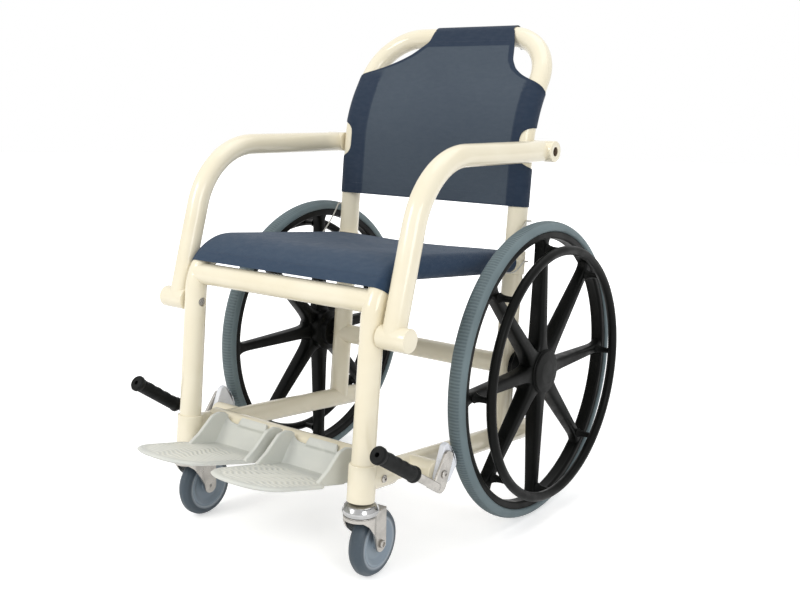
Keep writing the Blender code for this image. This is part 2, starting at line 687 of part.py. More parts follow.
def build_frame_cutters():
    """Clearances that the frame's pieces share."""
    made = {}
    hoop = hoop_path()
    half = len(hoop) // 2
    made["axle"] = bore("axle_bore", (HUB_OUTER_X, AXLE_Y, AXLE_Z), (-HUB_OUTER_X, AXLE_Y, AXLE_Z),
                        AXLE_RADIUS)
    for tag, side in SIDES:
        made["front_post_" + tag] = clearance_tube("front_post_gap_" + tag, side_path(side), TUBE_RADIUS)
        leg = hoop[:half] if side > 0.0 else hoop[half:]
        made["rear_post_" + tag] = clearance_tube("rear_post_gap_" + tag, leg, TUBE_RADIUS)
        rail = [frame_point(POST_X * side, FRONT_POST_U, LOWER_RAIL_W),
                frame_point(POST_X * side, LOWER_RAIL_END_U, LOWER_RAIL_W)]
        made["lower_rail_" + tag] = clearance_tube("lower_rail_gap_" + tag, rail, TUBE_RADIUS)
        branch = [frame_point(POST_X * side, FRONT_POST_U, LOWER_RAIL_W),
                  frame_point(POST_X * side, FRONT_POST_U + FITTING_BRANCH, LOWER_RAIL_W)]
        made["branch_" + tag] = clearance_tube("branch_gap_" + tag, branch, FITTING_RADIUS)
        outer = frame_point((POST_X + 2.0 * FITTING_RADIUS) * side, RAIL_BOLT_U, LOWER_RAIL_W)
        depth = frame_point((POST_X + FITTING_RADIUS - RAIL_BOLT_DEPTH) * side - GAP * side,
                            RAIL_BOLT_U, LOWER_RAIL_W)
        made["rail_bolt_" + tag] = bore("rail_bolt_bore_" + tag, depth, outer, RAIL_BOLT_RADIUS)
        pivot = brake_pivot()
        inner = (side * (BRAKE_STUB_END_X - BRAKE_BOLT_DEPTH - GAP), pivot.y, pivot.z)
        outer = (side * HUB_OUTER_X, pivot.y, pivot.z)
        made["brake_bolt_" + tag] = bore("brake_bolt_bore_" + tag, inner, outer, BRAKE_BOLT_RADIUS)
        pin = arm_pivot()
        inner = (side * (POST_X - 2.0 * TUBE_RADIUS), pin.y, pin.z)
        seat = (side * (arm_bolt_seat() + GAP), pin.y, pin.z)
        outer = (side * (ARM_BOLT_REACH + GAP), pin.y, pin.z)
        made["arm_bolt_" + tag] = bore("arm_bolt_bore_" + tag, inner, outer, ARM_BOLT_RADIUS)
        made["arm_recess_" + tag] = bore("arm_bolt_recess_" + tag, inner, seat, ARM_BOLT_HEAD)
    return made


def build_small_metal():
    """Bolts, pins, eyelets, the hem screw and the axle rod."""
    ends = [(HUB_OUTER_X - GAP, AXLE_Y, AXLE_Z), (GAP - HUB_OUTER_X, AXLE_Y, AXLE_Z)]
    finish(rod("rear_axle", *ends, AXLE_RADIUS), "stainless")
    for tag, side in SIDES:
        seat = POST_X + FITTING_RADIUS + GAP
        centre = frame_point(0.0, RAIL_BOLT_U, LOWER_RAIL_W)
        profile = [(0.0, seat + RAIL_BOLT_HEAD_LENGTH), (RAIL_BOLT_HEAD, seat + RAIL_BOLT_HEAD_LENGTH),
                   (RAIL_BOLT_HEAD, seat), (RAIL_BOLT_RADIUS, seat),
                   (RAIL_BOLT_RADIUS, seat - RAIL_BOLT_DEPTH), (0.0, seat - RAIL_BOLT_DEPTH)]
        finish(turned("rail_bolt_" + tag, profile, SMALL_STEPS, centre, side, False), "stainless")

        centre = brake_pivot()
        seat = BRAKE_LEVER_X + BRAKE_LEVER_THICKNESS + GAP
        end = BRAKE_STUB_END_X - BRAKE_BOLT_DEPTH
        profile = [(0.0, seat + BRAKE_BOLT_HEAD_LENGTH), (BRAKE_BOLT_HEAD, seat + BRAKE_BOLT_HEAD_LENGTH),
                   (BRAKE_BOLT_HEAD, seat), (BRAKE_BOLT_RADIUS, seat), (BRAKE_BOLT_RADIUS, end), (0.0, end)]
        finish(turned("brake_pivot_bolt_" + tag, profile, SMALL_STEPS, centre, side, False), "stainless")

        seat = arm_bolt_seat()
        head = seat - ARM_BOLT_RECESS / 2.0
        profile = [(0.0, ARM_BOLT_REACH), (ARM_BOLT_RADIUS, ARM_BOLT_REACH), (ARM_BOLT_RADIUS, seat),
                   (ARM_BOLT_HEAD, seat), (ARM_BOLT_HEAD, head), (0.0, head)]
        finish(turned("armrest_bolt_" + tag, profile, SMALL_STEPS, arm_pivot(), side, False), "stainless")

        for label, w in (("upper", EYELET_UPPER_W), ("lower", EYELET_LOWER_W)):
            build_eyelet("cord_eyelet_" + label + "_" + tag, side, w)
    top = frame_point(*hoop_corners()[2])
    rise = (top - frame_point(*hoop_corners()[1])).normalized()
    front = Vector((1.0, 0.0, 0.0)).cross(rise) * -1.0
    turn = math.asin((HEM_SCREW_X - POST_X + HOOP_CORNER_RADIUS) / HOOP_CORNER_RADIUS)
    inward = Vector((-math.sin(turn), 0.0, 0.0)) - rise * math.cos(turn)
    spot = (Vector((POST_X - HOOP_CORNER_RADIUS, top.y, top.z)) - rise * HOOP_CORNER_RADIUS
            - inward * HOOP_CORNER_RADIUS)
    away = (front + inward).normalized()
    start = spot + away * (TUBE_RADIUS + GAP)
    finish(rod("hem_screw", start, start + away * HEM_SCREW_LENGTH, HEM_SCREW_RADIUS, 8), "stainless")


def arm_bolt_seat():
    """Distance from the middle plane to the seat of an armrest bolt's head inside its post."""
    return POST_X - TUBE_RADIUS + ARM_BOLT_RECESS


def eyelet_centre(side, w):
    """Middle of an eyelet's ring, outboard of the rear post."""
    place = frame_point(0.0, 0.0, w)
    place.x = side * (POST_X + TUBE_RADIUS + GAP + EYELET_SHANK)
    return place


def build_eyelet(name, side, w):
    """A screw eye on the outer side of a rear post."""
    centre = eyelet_centre(side, w)
    bpy.ops.mesh.primitive_torus_add(major_radius=EYELET_RING, minor_radius=EYELET_WIRE,
                                     major_segments=10, minor_segments=6)
    item = bpy.context.object
    item.name = name
    move_to(item, PARTS)
    item.location = centre
    inner = Vector((side * (POST_X + TUBE_RADIUS + GAP), centre.y, centre.z))
    reach = Vector((centre.x - side * EYELET_RING, centre.y, centre.z))
    join(item, rod(name + "_shank", inner, reach, EYELET_WIRE, 8))
    return finish(item, "stainless")


def cord_route(side):
    """Route of a cord from its upper eyelet, forward and down, and back to its lower eyelet.

    The points between the ends are shares of the cord's bow outwards, of its reach forward and
    of the eyelets' spacing upwards, from the lower eyelet.
    """
    start = eyelet_centre(side, EYELET_UPPER_W)
    end = eyelet_centre(side, EYELET_LOWER_W)
    off = Vector((0.0, -(EYELET_RING + EYELET_WIRE + GAP), 0.0))
    lead = Vector((0.0, -2.0 * CORD_RADIUS, 0.0))
    if side > 0.0:
        middle = [(0.61, 0.24, 0.86), (0.87, 0.55, 0.68), (1.00, 0.86, 0.46),
                  (1.00, 1.00, 0.17), (0.87, 0.86, -0.11), (0.61, 0.45, -0.17)]
    else:
        middle = [(0.34, 0.17, 0.66), (0.47, 0.47, 0.24), (0.61, 0.82, 0.03),
                  (0.74, 1.00, -0.11), (0.67, 0.82, -0.26), (0.47, 0.43, -0.22)]
    loop = [end + Vector((side * CORD_BOW * out, -CORD_REACH * ahead, EYELET_SPACING * up))
            for out, ahead, up in middle]
    return [start + off, start + off + lead] + loop + [end + off + lead, end + off]


def build_cords():
    """The two thin cords between the eyelets."""
    for tag, side in SIDES:
        points = smooth_path(cord_route(side), 6.0 * CORD_RADIUS)
        finish(tube("cord_" + tag, points, CORD_RADIUS, 8), "cord_grey")


def build_armrests(cutters):
    """Flip-up armrests: bent tube between two stubs, turning on the front posts' bolts."""
    pivot = arm_pivot()
    for tag, side in SIDES:
        path = arm_path(side)
        inner = (side * (POST_X + TUBE_RADIUS + GAP), pivot.y, pivot.z)
        outer = (side * ARM_STUB_END_X, pivot.y, pivot.z)
        stub = finish(rod("armrest_stub_" + tag, inner, outer, TUBE_RADIUS, CUT_SIDES), "frame_plastic")
        cut(stub, cutters["arm_bolt_" + tag])
        item = finish(tube("armrest_tube_" + tag, path, TUBE_RADIUS), "frame_plastic")
        beyond = side * (ARM_STUB_END_X + TUBE_RADIUS)
        line = [Vector((side * POST_X, pivot.y, pivot.z)), Vector((beyond, pivot.y, pivot.z))]
        cut(item, clearance_tube("armrest_stub_gap_" + tag, line, TUBE_RADIUS))
        end = path[-1]
        inner = Vector((side * (ARM_X - TUBE_RADIUS), end.y, end.z))
        outer = Vector((side * ARM_REAR_STUB_END_X, end.y, end.z))
        rear = finish(rod("armrest_rear_stub_" + tag, inner, outer, TUBE_RADIUS, CUT_SIDES), "frame_plastic")
        deep = outer - Vector((side * ARM_REAR_BORE_DEPTH, 0.0, 0.0))
        beyond = outer + Vector((side * TUBE_RADIUS, 0.0, 0.0))
        cut(rear, as_cutter(rod("rear_stub_bore_" + tag, deep, beyond, ARM_REAR_BORE)))
        line = [Vector((side * POST_X, end.y, end.z)), beyond]
        cut(item, clearance_tube("armrest_rear_gap_" + tag, line, TUBE_RADIUS))
        carry(joint_empty("armrest_joint_" + tag, pivot), stub, item, rear)


def build_wheels():
    """Rear wheels: tyre, spoked wheel, handrim and hub cap."""
    half = TYRE_WIDTH / 2.0
    crown = REAR_WHEEL_RADIUS / math.cos(math.pi / WHEEL_STEPS)
    bead = REAR_WHEEL_RADIUS - TYRE_DEPTH
    tyre = [(crown, TYRE_X + 0.22 * half), (crown, TYRE_X - 0.22 * half),
            (crown - 0.20 * TYRE_DEPTH, TYRE_X - 0.66 * half), (crown - 0.65 * TYRE_DEPTH, TYRE_X - half),
            (bead, TYRE_X - 0.80 * half), (bead, TYRE_X + 0.80 * half),
            (crown - 0.65 * TYRE_DEPTH, TYRE_X + half), (crown - 0.20 * TYRE_DEPTH, TYRE_X + 0.66 * half)]
    half = RIM_WIDTH / 2.0
    bevel = RIM_INNER_RADIUS + HUB_SHOULDER
    rim = [(RIM_OUTER_RADIUS, TYRE_X + half), (RIM_OUTER_RADIUS, TYRE_X - half),
           (bevel, TYRE_X - half), (RIM_INNER_RADIUS, TYRE_X - half + HUB_SHOULDER),
           (RIM_INNER_RADIUS, TYRE_X + half - HUB_SHOULDER), (bevel, TYRE_X + half)]
    hub_bore = (AXLE_RADIUS + GAP) / math.cos(math.pi / HUB_STEPS)
    neck = HUB_INNER_X + HUB_NECK_LENGTH
    hub = [(HUB_RADIUS - HUB_SHOULDER / 2.0, HUB_OUTER_X), (HUB_RADIUS, HUB_OUTER_X - HUB_SHOULDER),
           (HUB_RADIUS, neck + HUB_SHOULDER), (HUB_NECK_RADIUS, neck), (HUB_NECK_RADIUS, HUB_INNER_X),
           (hub_bore, HUB_INNER_X), (hub_bore, HUB_OUTER_X)]
    cap_seat = HUB_OUTER_X + GAP
    cap = [(0.0, cap_seat + HUB_CAP_THICKNESS), (0.55 * HUB_CAP_RADIUS, cap_seat + 0.85 * HUB_CAP_THICKNESS),
           (HUB_CAP_RADIUS, cap_seat + 0.30 * HUB_CAP_THICKNESS), (HUB_CAP_RADIUS, cap_seat), (0.0, cap_seat)]
    for tag, side in SIDES:
        centre = Vector((0.0, AXLE_Y, AXLE_Z))
        made = [finish(turned("rear_tyre_" + tag, tyre, WHEEL_STEPS, centre, side), "tyre_grey")]
        wheel = finish(turned("rear_wheel_" + tag, hub, HUB_STEPS, centre, side), "wheel_black")
        join(wheel, spoke_star("spokes_" + tag, side, centre),
             turned("rim_" + tag, rim, WHEEL_STEPS, centre, side))
        made.append(wheel)
        made.append(build_handrim(tag, side, centre))
        made.append(finish(turned("hub_cap_" + tag, cap, HUB_STEPS, centre, side, False), "wheel_black"))
        carry(joint_empty("rear_wheel_joint_" + tag, centre), *made)


def spoke_star(name, side, centre):
    """Eight tapered spokes in one mesh, which start inside the hub and end inside the rim."""
    start = HUB_RADIUS - HUB_SHOULDER
    end = RIM_INNER_RADIUS + HUB_SHOULDER
    work = bmesh.new()
    for k in range(SPOKES):
        made = bmesh.ops.create_cube(work, size=1.0)["verts"]
        turn = Matrix.Rotation(2.0 * math.pi * k / SPOKES, 4, "X")
        for vert in made:
            at_rim = vert.co.y > 0.0
            width = SPOKE_RIM_WIDTH if at_rim else SPOKE_HUB_WIDTH
            depth = SPOKE_RIM_DEPTH if at_rim else SPOKE_HUB_DEPTH
            vert.co = Vector((vert.co.x * depth + side * TYRE_X, end if at_rim else start, vert.co.z * width))
        bmesh.ops.transform(work, matrix=turn, verts=made)
    mesh = bpy.data.meshes.new(name)
    work.to_mesh(mesh)
    work.free()
    item = mesh_object(name, mesh)
    item.location = centre
    return item


def spoke_depth(radius):
    """Depth of a spoke along the axle at a radius, between its ends in the hub and in the rim."""
    start, end = HUB_RADIUS - HUB_SHOULDER, RIM_INNER_RADIUS + HUB_SHOULDER
    share = (radius - start) / (end - start)
    return SPOKE_HUB_DEPTH + (SPOKE_RIM_DEPTH - SPOKE_HUB_DEPTH) * share


def build_handrim(tag, side, centre):
    """Handrim with its eight standoffs."""
    ring = HANDRIM_RADIUS - HANDRIM_TUBE
    bpy.ops.mesh.primitive_torus_add(major_radius=ring, minor_radius=HANDRIM_TUBE,
                                     major_segments=WHEEL_STEPS, minor_segments=6)
    item = bpy.context.object
    item.name = "handrim_" + tag
    move_to(item, PARTS)
    item.data.transform(Matrix.Rotation(math.pi / 2.0, 4, "Y"))
    item.location = centre + Vector((side * HANDRIM_X, 0.0, 0.0))
    start = TYRE_X + spoke_depth(ring - STANDOFF_RADIUS) / 2.0 + GAP
    work = bmesh.new()
    for k in range(SPOKES):
        angle = 2.0 * math.pi * k / SPOKES
        made = bmesh.ops.create_cone(work, cap_ends=True, segments=6, radius1=STANDOFF_RADIUS,
                                     radius2=STANDOFF_RADIUS, depth=HANDRIM_X - start)["verts"]
        place = (Matrix.Translation((side * (start + HANDRIM_X) / 2.0, ring * math.cos(angle),
                                     ring * math.sin(angle))) @ Matrix.Rotation(math.pi / 2.0, 4, "Y"))
        bmesh.ops.transform(work, matrix=place, verts=made)
    mesh = bpy.data.meshes.new("standoffs_" + tag)
    work.to_mesh(mesh)
    work.free()
    legs = mesh_object("standoffs_" + tag, mesh)
    legs.location = centre
    join(item, legs)
    return finish(item, "wheel_black")


def build_casters():
    """Swivel casters: bearing cap, fork, tyre, hub and axle bolt."""
    half = CASTER_WIDTH / 2.0
    tread = CASTER_RADIUS / math.cos(math.pi / CASTER_STEPS)
    tyre = [(tread, 0.45 * half), (tread, -0.45 * half), (tread - 0.008, -half),
            (CASTER_HUB_RADIUS + GAP, -half), (CASTER_HUB_RADIUS + GAP, half), (tread - 0.008, half)]
    hub_bore = (CASTER_BOLT_RADIUS + GAP) / math.cos(math.pi / CASTER_STEPS)
    dish = CASTER_HUB_RADIUS - CASTER_HUB_FLANGE
    hub = [(CASTER_HUB_RADIUS, half), (CASTER_HUB_RADIUS, -half), (dish, -half),
           (2.4 * hub_bore, -CASTER_HUB_WEB / 2.0), (2.0 * hub_bore, -half), (hub_bore, -half),
           (hub_bore, half), (2.0 * hub_bore, half), (2.4 * hub_bore, CASTER_HUB_WEB / 2.0), (dish, half)]
    arm_inner = half + CASTER_ARM_GAP
    arm_outer = arm_inner + FORK_THICKNESS
    head = arm_outer + GAP
    for (tag, side), yaw in zip(SIDES, CASTER_YAW):
        pivot = swivel_point(side)
        empty = joint_empty("caster_joint_" + tag, (pivot.x, pivot.y, 0.0), yaw)
        axle = Vector((0.0, CASTER_TRAIL, CASTER_RADIUS))
        cap_floor = FORK_TOP_Z + GAP
        cap = turned_up("caster_bearing_cap_" + tag,
                        [(0.80 * BEARING_CAP_RADIUS, cap_floor + BEARING_CAP_HEIGHT),
                         (BEARING_CAP_RADIUS, cap_floor + 0.55 * BEARING_CAP_HEIGHT),
                         (BEARING_CAP_RADIUS, cap_floor + 0.15 * BEARING_CAP_HEIGHT),
                         (0.90 * BEARING_CAP_RADIUS, cap_floor),
                         (STEM_RADIUS + 2.0 * GAP, cap_floor),
                         (STEM_RADIUS + 2.0 * GAP, cap_floor + BEARING_CAP_HEIGHT)])
        fork = rod("caster_fork_" + tag, (0.0, 0.0, FORK_TOP_Z - FORK_THICKNESS),
                   (0.0, 0.0, FORK_TOP_Z), FORK_TOP_RADIUS, CUT_SIDES)
        pieces = [rod("stem_" + tag, (0.0, 0.0, FORK_TOP_Z - FORK_THICKNESS / 2.0),
                      (0.0, 0.0, FORK_TOP_Z + STEM_LENGTH), STEM_RADIUS)]
        eye = FORK_ARM_WIDTH / 2.0
        top = FORK_TOP_Z - FORK_THICKNESS / 2.0
        back = axle.y + eye
        outline = ([(-FORK_WEB_AHEAD, top)] + arc((axle.y, axle.z), eye, math.pi, 2.0 * math.pi, 8)
                   + [(back, top)])
        bridge = [(-arm_outer, 0.0), (arm_outer, 0.0), (arm_outer, back), (-arm_outer, back)]
        level = Matrix.Translation((0.0, 0.0, FORK_TOP_Z - FORK_THICKNESS / 2.0))
        pieces.append(plate("fork_bridge_" + tag, bridge, FORK_THICKNESS, level))
        for label, sign in (("out", 1.0), ("in", -1.0)):
            pieces.append(upright_plate("fork_arm_" + label + "_" + tag, outline, FORK_THICKNESS,
                                        sign * (arm_inner + FORK_THICKNESS / 2.0)))
        join(fork, *pieces)
        eye_bore = bore("fork_bore_" + tag, (-2.0 * arm_outer, axle.y, axle.z),
                        (2.0 * arm_outer, axle.y, axle.z), CASTER_BOLT_RADIUS)
        cut(fork, eye_bore)
        carry_local(empty, cap, fork, *pieces, eye_bore)
        finish(cap, "chrome")
        finish(fork, "stainless")
        roll = joint_empty("caster_wheel_joint_" + tag, axle, 0.0, empty)
        origin = Vector((0.0, 0.0, 0.0))
        rubber = finish(turned("caster_tyre_" + tag, tyre, CASTER_STEPS, origin, side), "caster_tyre")
        centre = finish(turned("caster_hub_" + tag, hub, CASTER_STEPS, origin, side), "caster_hub")
        bolt = [(0.0, head + CASTER_BOLT_HEAD_LENGTH), (CASTER_BOLT_HEAD, head + CASTER_BOLT_HEAD_LENGTH),
                (CASTER_BOLT_HEAD, head), (CASTER_BOLT_RADIUS, head), (CASTER_BOLT_RADIUS, -arm_outer),
                (0.0, -arm_outer)]
        pin = finish(turned("caster_axle_bolt_" + tag, bolt, SMALL_STEPS, origin, side, False), "stainless")
        carry_local(roll, rubber, centre)
        pin.location = axle
        carry_local(empty, pin)


def turned_up(name, profile):
    """A ring turned about Z from a closed profile of radius and height."""
    item = turned(name, profile, CUT_SIDES, Vector((0.0, 0.0, 0.0)))
    item.rotation_euler = (0.0, 0.0, 0.0)
    return item


def foot_edge(forward):
    """Half width of a footplate at a distance forward of its heel crease, behind its nose."""
    share = forward / (FOOT_LENGTH - FOOT_NOSE)
    return FOOT_HEEL_HALF_WIDTH + (FOOT_HALF_WIDTH - FOOT_HEEL_HALF_WIDTH) * share


def foot_outline():
    """Footplate outline in plan: x across, and distance forward of the heel crease.

    The nose is a superellipse, and the sides widen in straight lines towards the heel.
    """
    nose = []
    for k in range(FOOT_NOSE_STEPS + 1):
        angle = math.pi * (1.0 - k / FOOT_NOSE_STEPS)
        across = math.copysign(abs(math.cos(angle)) ** (2.0 / FOOT_NOSE_POWER), math.cos(angle))
        ahead = abs(math.sin(angle)) ** (2.0 / FOOT_NOSE_POWER)
        nose.append((FOOT_CENTRE_X + FOOT_HALF_WIDTH * across, FOOT_LENGTH - FOOT_NOSE + FOOT_NOSE * ahead))
    inner_toe = (FOOT_CENTRE_X - foot_edge(FOOT_CHEEK_LENGTH), FOOT_CHEEK_LENGTH)
    outer_toe = (FOOT_CENTRE_X + foot_edge(FOOT_CHEEK_LENGTH), FOOT_CHEEK_LENGTH)
    return ([(FOOT_INNER_X, 0.0), inner_toe] + nose
            + [outer_toe, (FOOT_HEEL_X, FOOT_CHEEK_LENGTH - FOOT_CLIP_INSET), (FOOT_HEEL_X, 0.0)])


def foot_cheek():
    """Outline in y and z of the upright cheek at each side of the heel, from its toe back."""
    half = FOOT_PLATE_THICKNESS / 2.0
    toe = (FOOT_CREASE_Y - FOOT_CHEEK_LENGTH * math.cos(FOOT_SLOPE),
           FOOT_CREASE_Z + FOOT_CHEEK_LENGTH * math.sin(FOOT_SLOPE))
    return [(toe[0], toe[1] - half),
            (toe[0] + 0.26 * FOOT_CHEEK_LENGTH, toe[1] + FOOT_CHEEK_TOE_RISE),
            (toe[0] + 0.60 * FOOT_CHEEK_LENGTH, FOOT_CHEEK_PEAK_Z - FOOT_CHEEK_SHOULDER_DROP),
            (FOOT_CHEEK_PEAK_Y, FOOT_CHEEK_PEAK_Z),
            (FOOT_CHEEK_PEAK_Y + 2.0 * FOOT_CHEEK_SHOULDER_DROP,
             FOOT_CHEEK_PEAK_Z - FOOT_CHEEK_SHOULDER_DROP),
            (FOOT_TUBE_Y - TUBE_RADIUS, FOOT_TUBE_Z + FOOT_CHEEK_SHOULDER_DROP),
            (FOOT_TUBE_Y, FOOT_TUBE_Z - TUBE_RADIUS - 0.8 * FOOT_CLIP_WALL),
            (FOOT_CREASE_Y, FOOT_CREASE_Z - half)]


def build_footrests():
    """Flip-up footrests: plate, heel wall, two cheeks and two clips on the tube, in one casting."""
    clip_inner = (TUBE_RADIUS + GAP) / math.cos(math.pi / CUT_SIDES)
    clip_outer = clip_inner + FOOT_CLIP_WALL
    tube_yz = (FOOT_TUBE_Y, FOOT_TUBE_Z)
    ring = (arc(tube_yz, clip_outer, math.radians(150.0), math.radians(395.0), 9)
            + arc(tube_yz, clip_inner, math.radians(395.0), math.radians(150.0), 9))
    half = FOOT_PLATE_THICKNESS / 2.0
    wall_back = FOOT_TUBE_Y - clip_inner - GAP
    wall_front = FOOT_TUBE_Y - clip_outer - 2.0 * GAP
    wall_top = FOOT_TUBE_Z + half
    wall = [(FOOT_CREASE_Y - half, FOOT_CREASE_Z - half), (FOOT_CREASE_Y + half, FOOT_CREASE_Z - 2.0 * half),
            (FOOT_TUBE_Y, FOOT_TUBE_Z - clip_inner - 0.8 * FOOT_CLIP_WALL),
            (wall_back, wall_top), (wall_front, wall_top)]
    inset = FOOT_CHEEK_THICKNESS + FOOT_CLIP_WIDTH / 2.0 + FOOT_CLIP_INSET
    for tag, side in SIDES:
        slope = Matrix.Rotation(FOOT_SLOPE, 4, "X")
        outline = [(side * x, forward) for x, forward in foot_outline()]
        flip = Matrix.Diagonal((1.0, -1.0, 1.0, 1.0))
        drop = Matrix.Translation((0.0, 0.0, -half))
        place = Matrix.Translation((0.0, FOOT_CREASE_Y, FOOT_CREASE_Z)) @ slope.inverted() @ drop @ flip
        item = finish(plate("footrest_" + tag, outline, FOOT_PLATE_THICKNESS, place), "foot_grey")
        middle = side * (FOOT_INNER_X + FOOT_HEEL_X) / 2.0
        pieces = [upright_plate("heel_wall_" + tag, wall, FOOT_HEEL_X - FOOT_INNER_X - 2.0 * GAP, middle)]
        for label, x in (("inner", FOOT_INNER_X + FOOT_CHEEK_THICKNESS / 2.0 + GAP),
                         ("outer", FOOT_HEEL_X - FOOT_CHEEK_THICKNESS / 2.0 - GAP)):
            pieces.append(upright_plate("cheek_" + label + "_" + tag, foot_cheek(), FOOT_CHEEK_THICKNESS,
                                        side * x))
        for label, x in (("inner", FOOT_INNER_X + inset), ("outer", FOOT_HEEL_X - inset)):
            pieces.append(upright_plate("clip_" + label + "_" + tag, ring, FOOT_CLIP_WIDTH, side * x))
        join(item, *pieces)
        clearance = as_cutter(rod("foot_tube_gap_" + tag, (0.0, *tube_yz), (side * POST_X, *tube_yz),
                                  clip_inner, CUT_SIDES))
        cut(item, clearance)
        carry(joint_empty("footrest_joint_" + tag, Vector((0.0, *tube_yz))), item)


def brake_shoe_outline():
    """Shoe outline in y and z: a cam round the pivot whose rear edge swells towards the top."""
    pivot = brake_pivot()
    rest_radius = BRAKE_TYRE_DISTANCE - BRAKE_SHOE_REST_GAP
    steps = 7
    cam = []
    for k in range(steps + 1):
        degrees = BRAKE_SHOE_LOBE_END * k / steps
        share = (degrees - BRAKE_SHOE_LOBE_START) / (BRAKE_SHOE_LOBE_END - BRAKE_SHOE_LOBE_START)
        radius = rest_radius + BRAKE_SHOE_LOBE * max(0.0, share)
        angle = math.radians(degrees)
        cam.append((pivot.y + radius * math.cos(angle), pivot.z + radius * math.sin(angle)))
    return cam + [(pivot.y + y, pivot.z + z) for y, z in (BRAKE_SHOE_TOP, BRAKE_SHOE_HEEL, BRAKE_SHOE_FOOT)]


def build_brakes(cutters):
    """Brake levers with their shoes and grips, turning on the stubs' bolts."""
    pivot = brake_pivot()
    up = (math.cos(BRAKE_LEVER_ANGLE), math.sin(BRAKE_LEVER_ANGLE))
    across = (-up[1], up[0])
    half = BRAKE_LEVER_WIDTH / 2.0
    tip = (pivot.y + up[0] * BRAKE_LEVER_REACH, pivot.z + up[1] * BRAKE_LEVER_REACH)
    elbow = (pivot.y - BRAKE_ELBOW_AHEAD, pivot.z - BRAKE_ELBOW_DROP)
    handle = (math.cos(BRAKE_HANDLE_ANGLE), math.sin(BRAKE_HANDLE_ANGLE))
    bar = (arc(tip, half, BRAKE_LEVER_ANGLE - math.pi / 2.0, BRAKE_LEVER_ANGLE + math.pi / 2.0, 6)
           + [(pivot.y + across[0] * half, pivot.z + across[1] * half)]
           + arc(elbow, BRAKE_HANDLE_RADIUS, math.radians(140.0), math.radians(310.0), 5)
           + [(pivot.y - across[0] * half, pivot.z - across[1] * half)])
    for (tag, side), turn in zip(SIDES, BRAKE_REST_TURN):
        shoe = finish(upright_plate("brake_shoe_" + tag, brake_shoe_outline(), BRAKE_SHOE_THICKNESS,
                                    side * (BRAKE_SHOE_X + BRAKE_SHOE_THICKNESS / 2.0)), "shoe_white")
        cut(shoe, cutters["brake_bolt_" + tag])
        lever = finish(upright_plate("brake_lever_" + tag, bar, BRAKE_LEVER_THICKNESS,
                                     side * (BRAKE_LEVER_X + BRAKE_LEVER_THICKNESS / 2.0)), "stainless")
        start = Vector((side * BRAKE_HANDLE_X, elbow[0], elbow[1]))
        direction = Vector((0.0, handle[0], handle[1]))
        end = start + direction * BRAKE_HANDLE_LENGTH
        bar_end = rod("brake_handle_" + tag, start, end, BRAKE_HANDLE_RADIUS)
        join(lever, bar_end)
        cut(lever, cutters["brake_bolt_" + tag])
        last = end + direction * BRAKE_GRIP_END
        root = last - direction * BRAKE_GRIP_LENGTH
        lip = direction * BRAKE_GRIP_END
        grip = finish(rod("brake_grip_" + tag, root, last, BRAKE_GRIP_RADIUS), "grip_black")
        flanges = [rod("grip_flange_out_" + tag, last - 2.0 * lip, last + lip / 8.0, BRAKE_GRIP_FLANGE),
                   rod("grip_flange_in_" + tag, root - lip / 8.0, root + 1.5 * lip, 0.95 * BRAKE_GRIP_FLANGE)]
        join(grip, *flanges)
        hole = bore("grip_bore_" + tag, root - 5.0 * lip, end + direction * GAP, BRAKE_HANDLE_RADIUS)
        cut(grip, hole)
        empty = joint_empty("brake_joint_" + tag, Vector((0.0, pivot.y, pivot.z)))
        carry(empty, shoe, lever, grip, bar_end, *flanges, hole)
        empty.rotation_euler = (-turn, 0.0, 0.0)


def fabric_radius():
    """Distance from a tube's axis to the inner side of the cloth that wraps it."""
    return TUBE_RADIUS + FABRIC_CLEARANCE


def wrap_section(wrap_angle, steps):
    """Cross-section of cloth round the left tube, from the panel's edge over the outer side.

    Each entry is a distance outboard of the tube's axis and one along the panel's normal.
    """
    radius = fabric_radius()
    points = []
    for k in range(steps + 1):
        angle = math.pi / 2.0 - wrap_angle * k / steps
        points.append((radius * math.cos(angle), radius * math.sin(angle)))
    return points


def cloth(name, rows, faces_of, finish_name):
    """A cloth shell from rows of points, thickened away from the tubes."""
    mesh = bpy.data.meshes.new(name)
    verts = [point for row in rows for point in row]
    mesh.from_pydata([tuple(v) for v in verts], [], faces_of(rows))
    work = bmesh.new()
    work.from_mesh(mesh)
    bmesh.ops.recalc_face_normals(work, faces=work.faces)
    work.to_mesh(mesh)
    work.free()
    item = mesh_object(name, mesh)
    shell = item.modifiers.new("thickness", "SOLIDIFY")
    shell.thickness = FABRIC_THICKNESS
    shell.offset = 1.0
    shell.use_even_offset = True
    return finish(item, finish_name)


def grid_faces(rows):
    """Quads between neighbouring rows; a shorter row joins the middle of a longer one."""
    faces = []
    first = 0
    for row, following in zip(rows, rows[1:]):
        second = first + len(row)
        inset = (len(row) - len(following)) // 2
        for k in range(len(following) - 1):
            faces.append((first + inset + k, first + inset + k + 1, second + k + 1, second + k))
        first = second
    return faces


def wrapped_row(centre, normal, wrap_angle):
    """One row of cloth across the chair: right wrap, panel and left wrap."""
    left = wrap_section(wrap_angle, 7)
    row = []
    for out, lift in reversed(left):
        row.append(Vector((-(POST_X + out), centre.y, centre.z)) + normal * lift)
    row.append(Vector((0.0, centre.y, centre.z)) + normal * fabric_radius())
    for out, lift in left:
        row.append(Vector((POST_X + out, centre.y, centre.z)) + normal * lift)
    return row


def path_normal(points, k, side_axis):
    """Unit vector square to a path at a point, on one side of it."""
    before = points[max(0, k - 1)]
    after = points[min(len(points) - 1, k + 1)]
    return side_axis.cross(after - before).normalized()


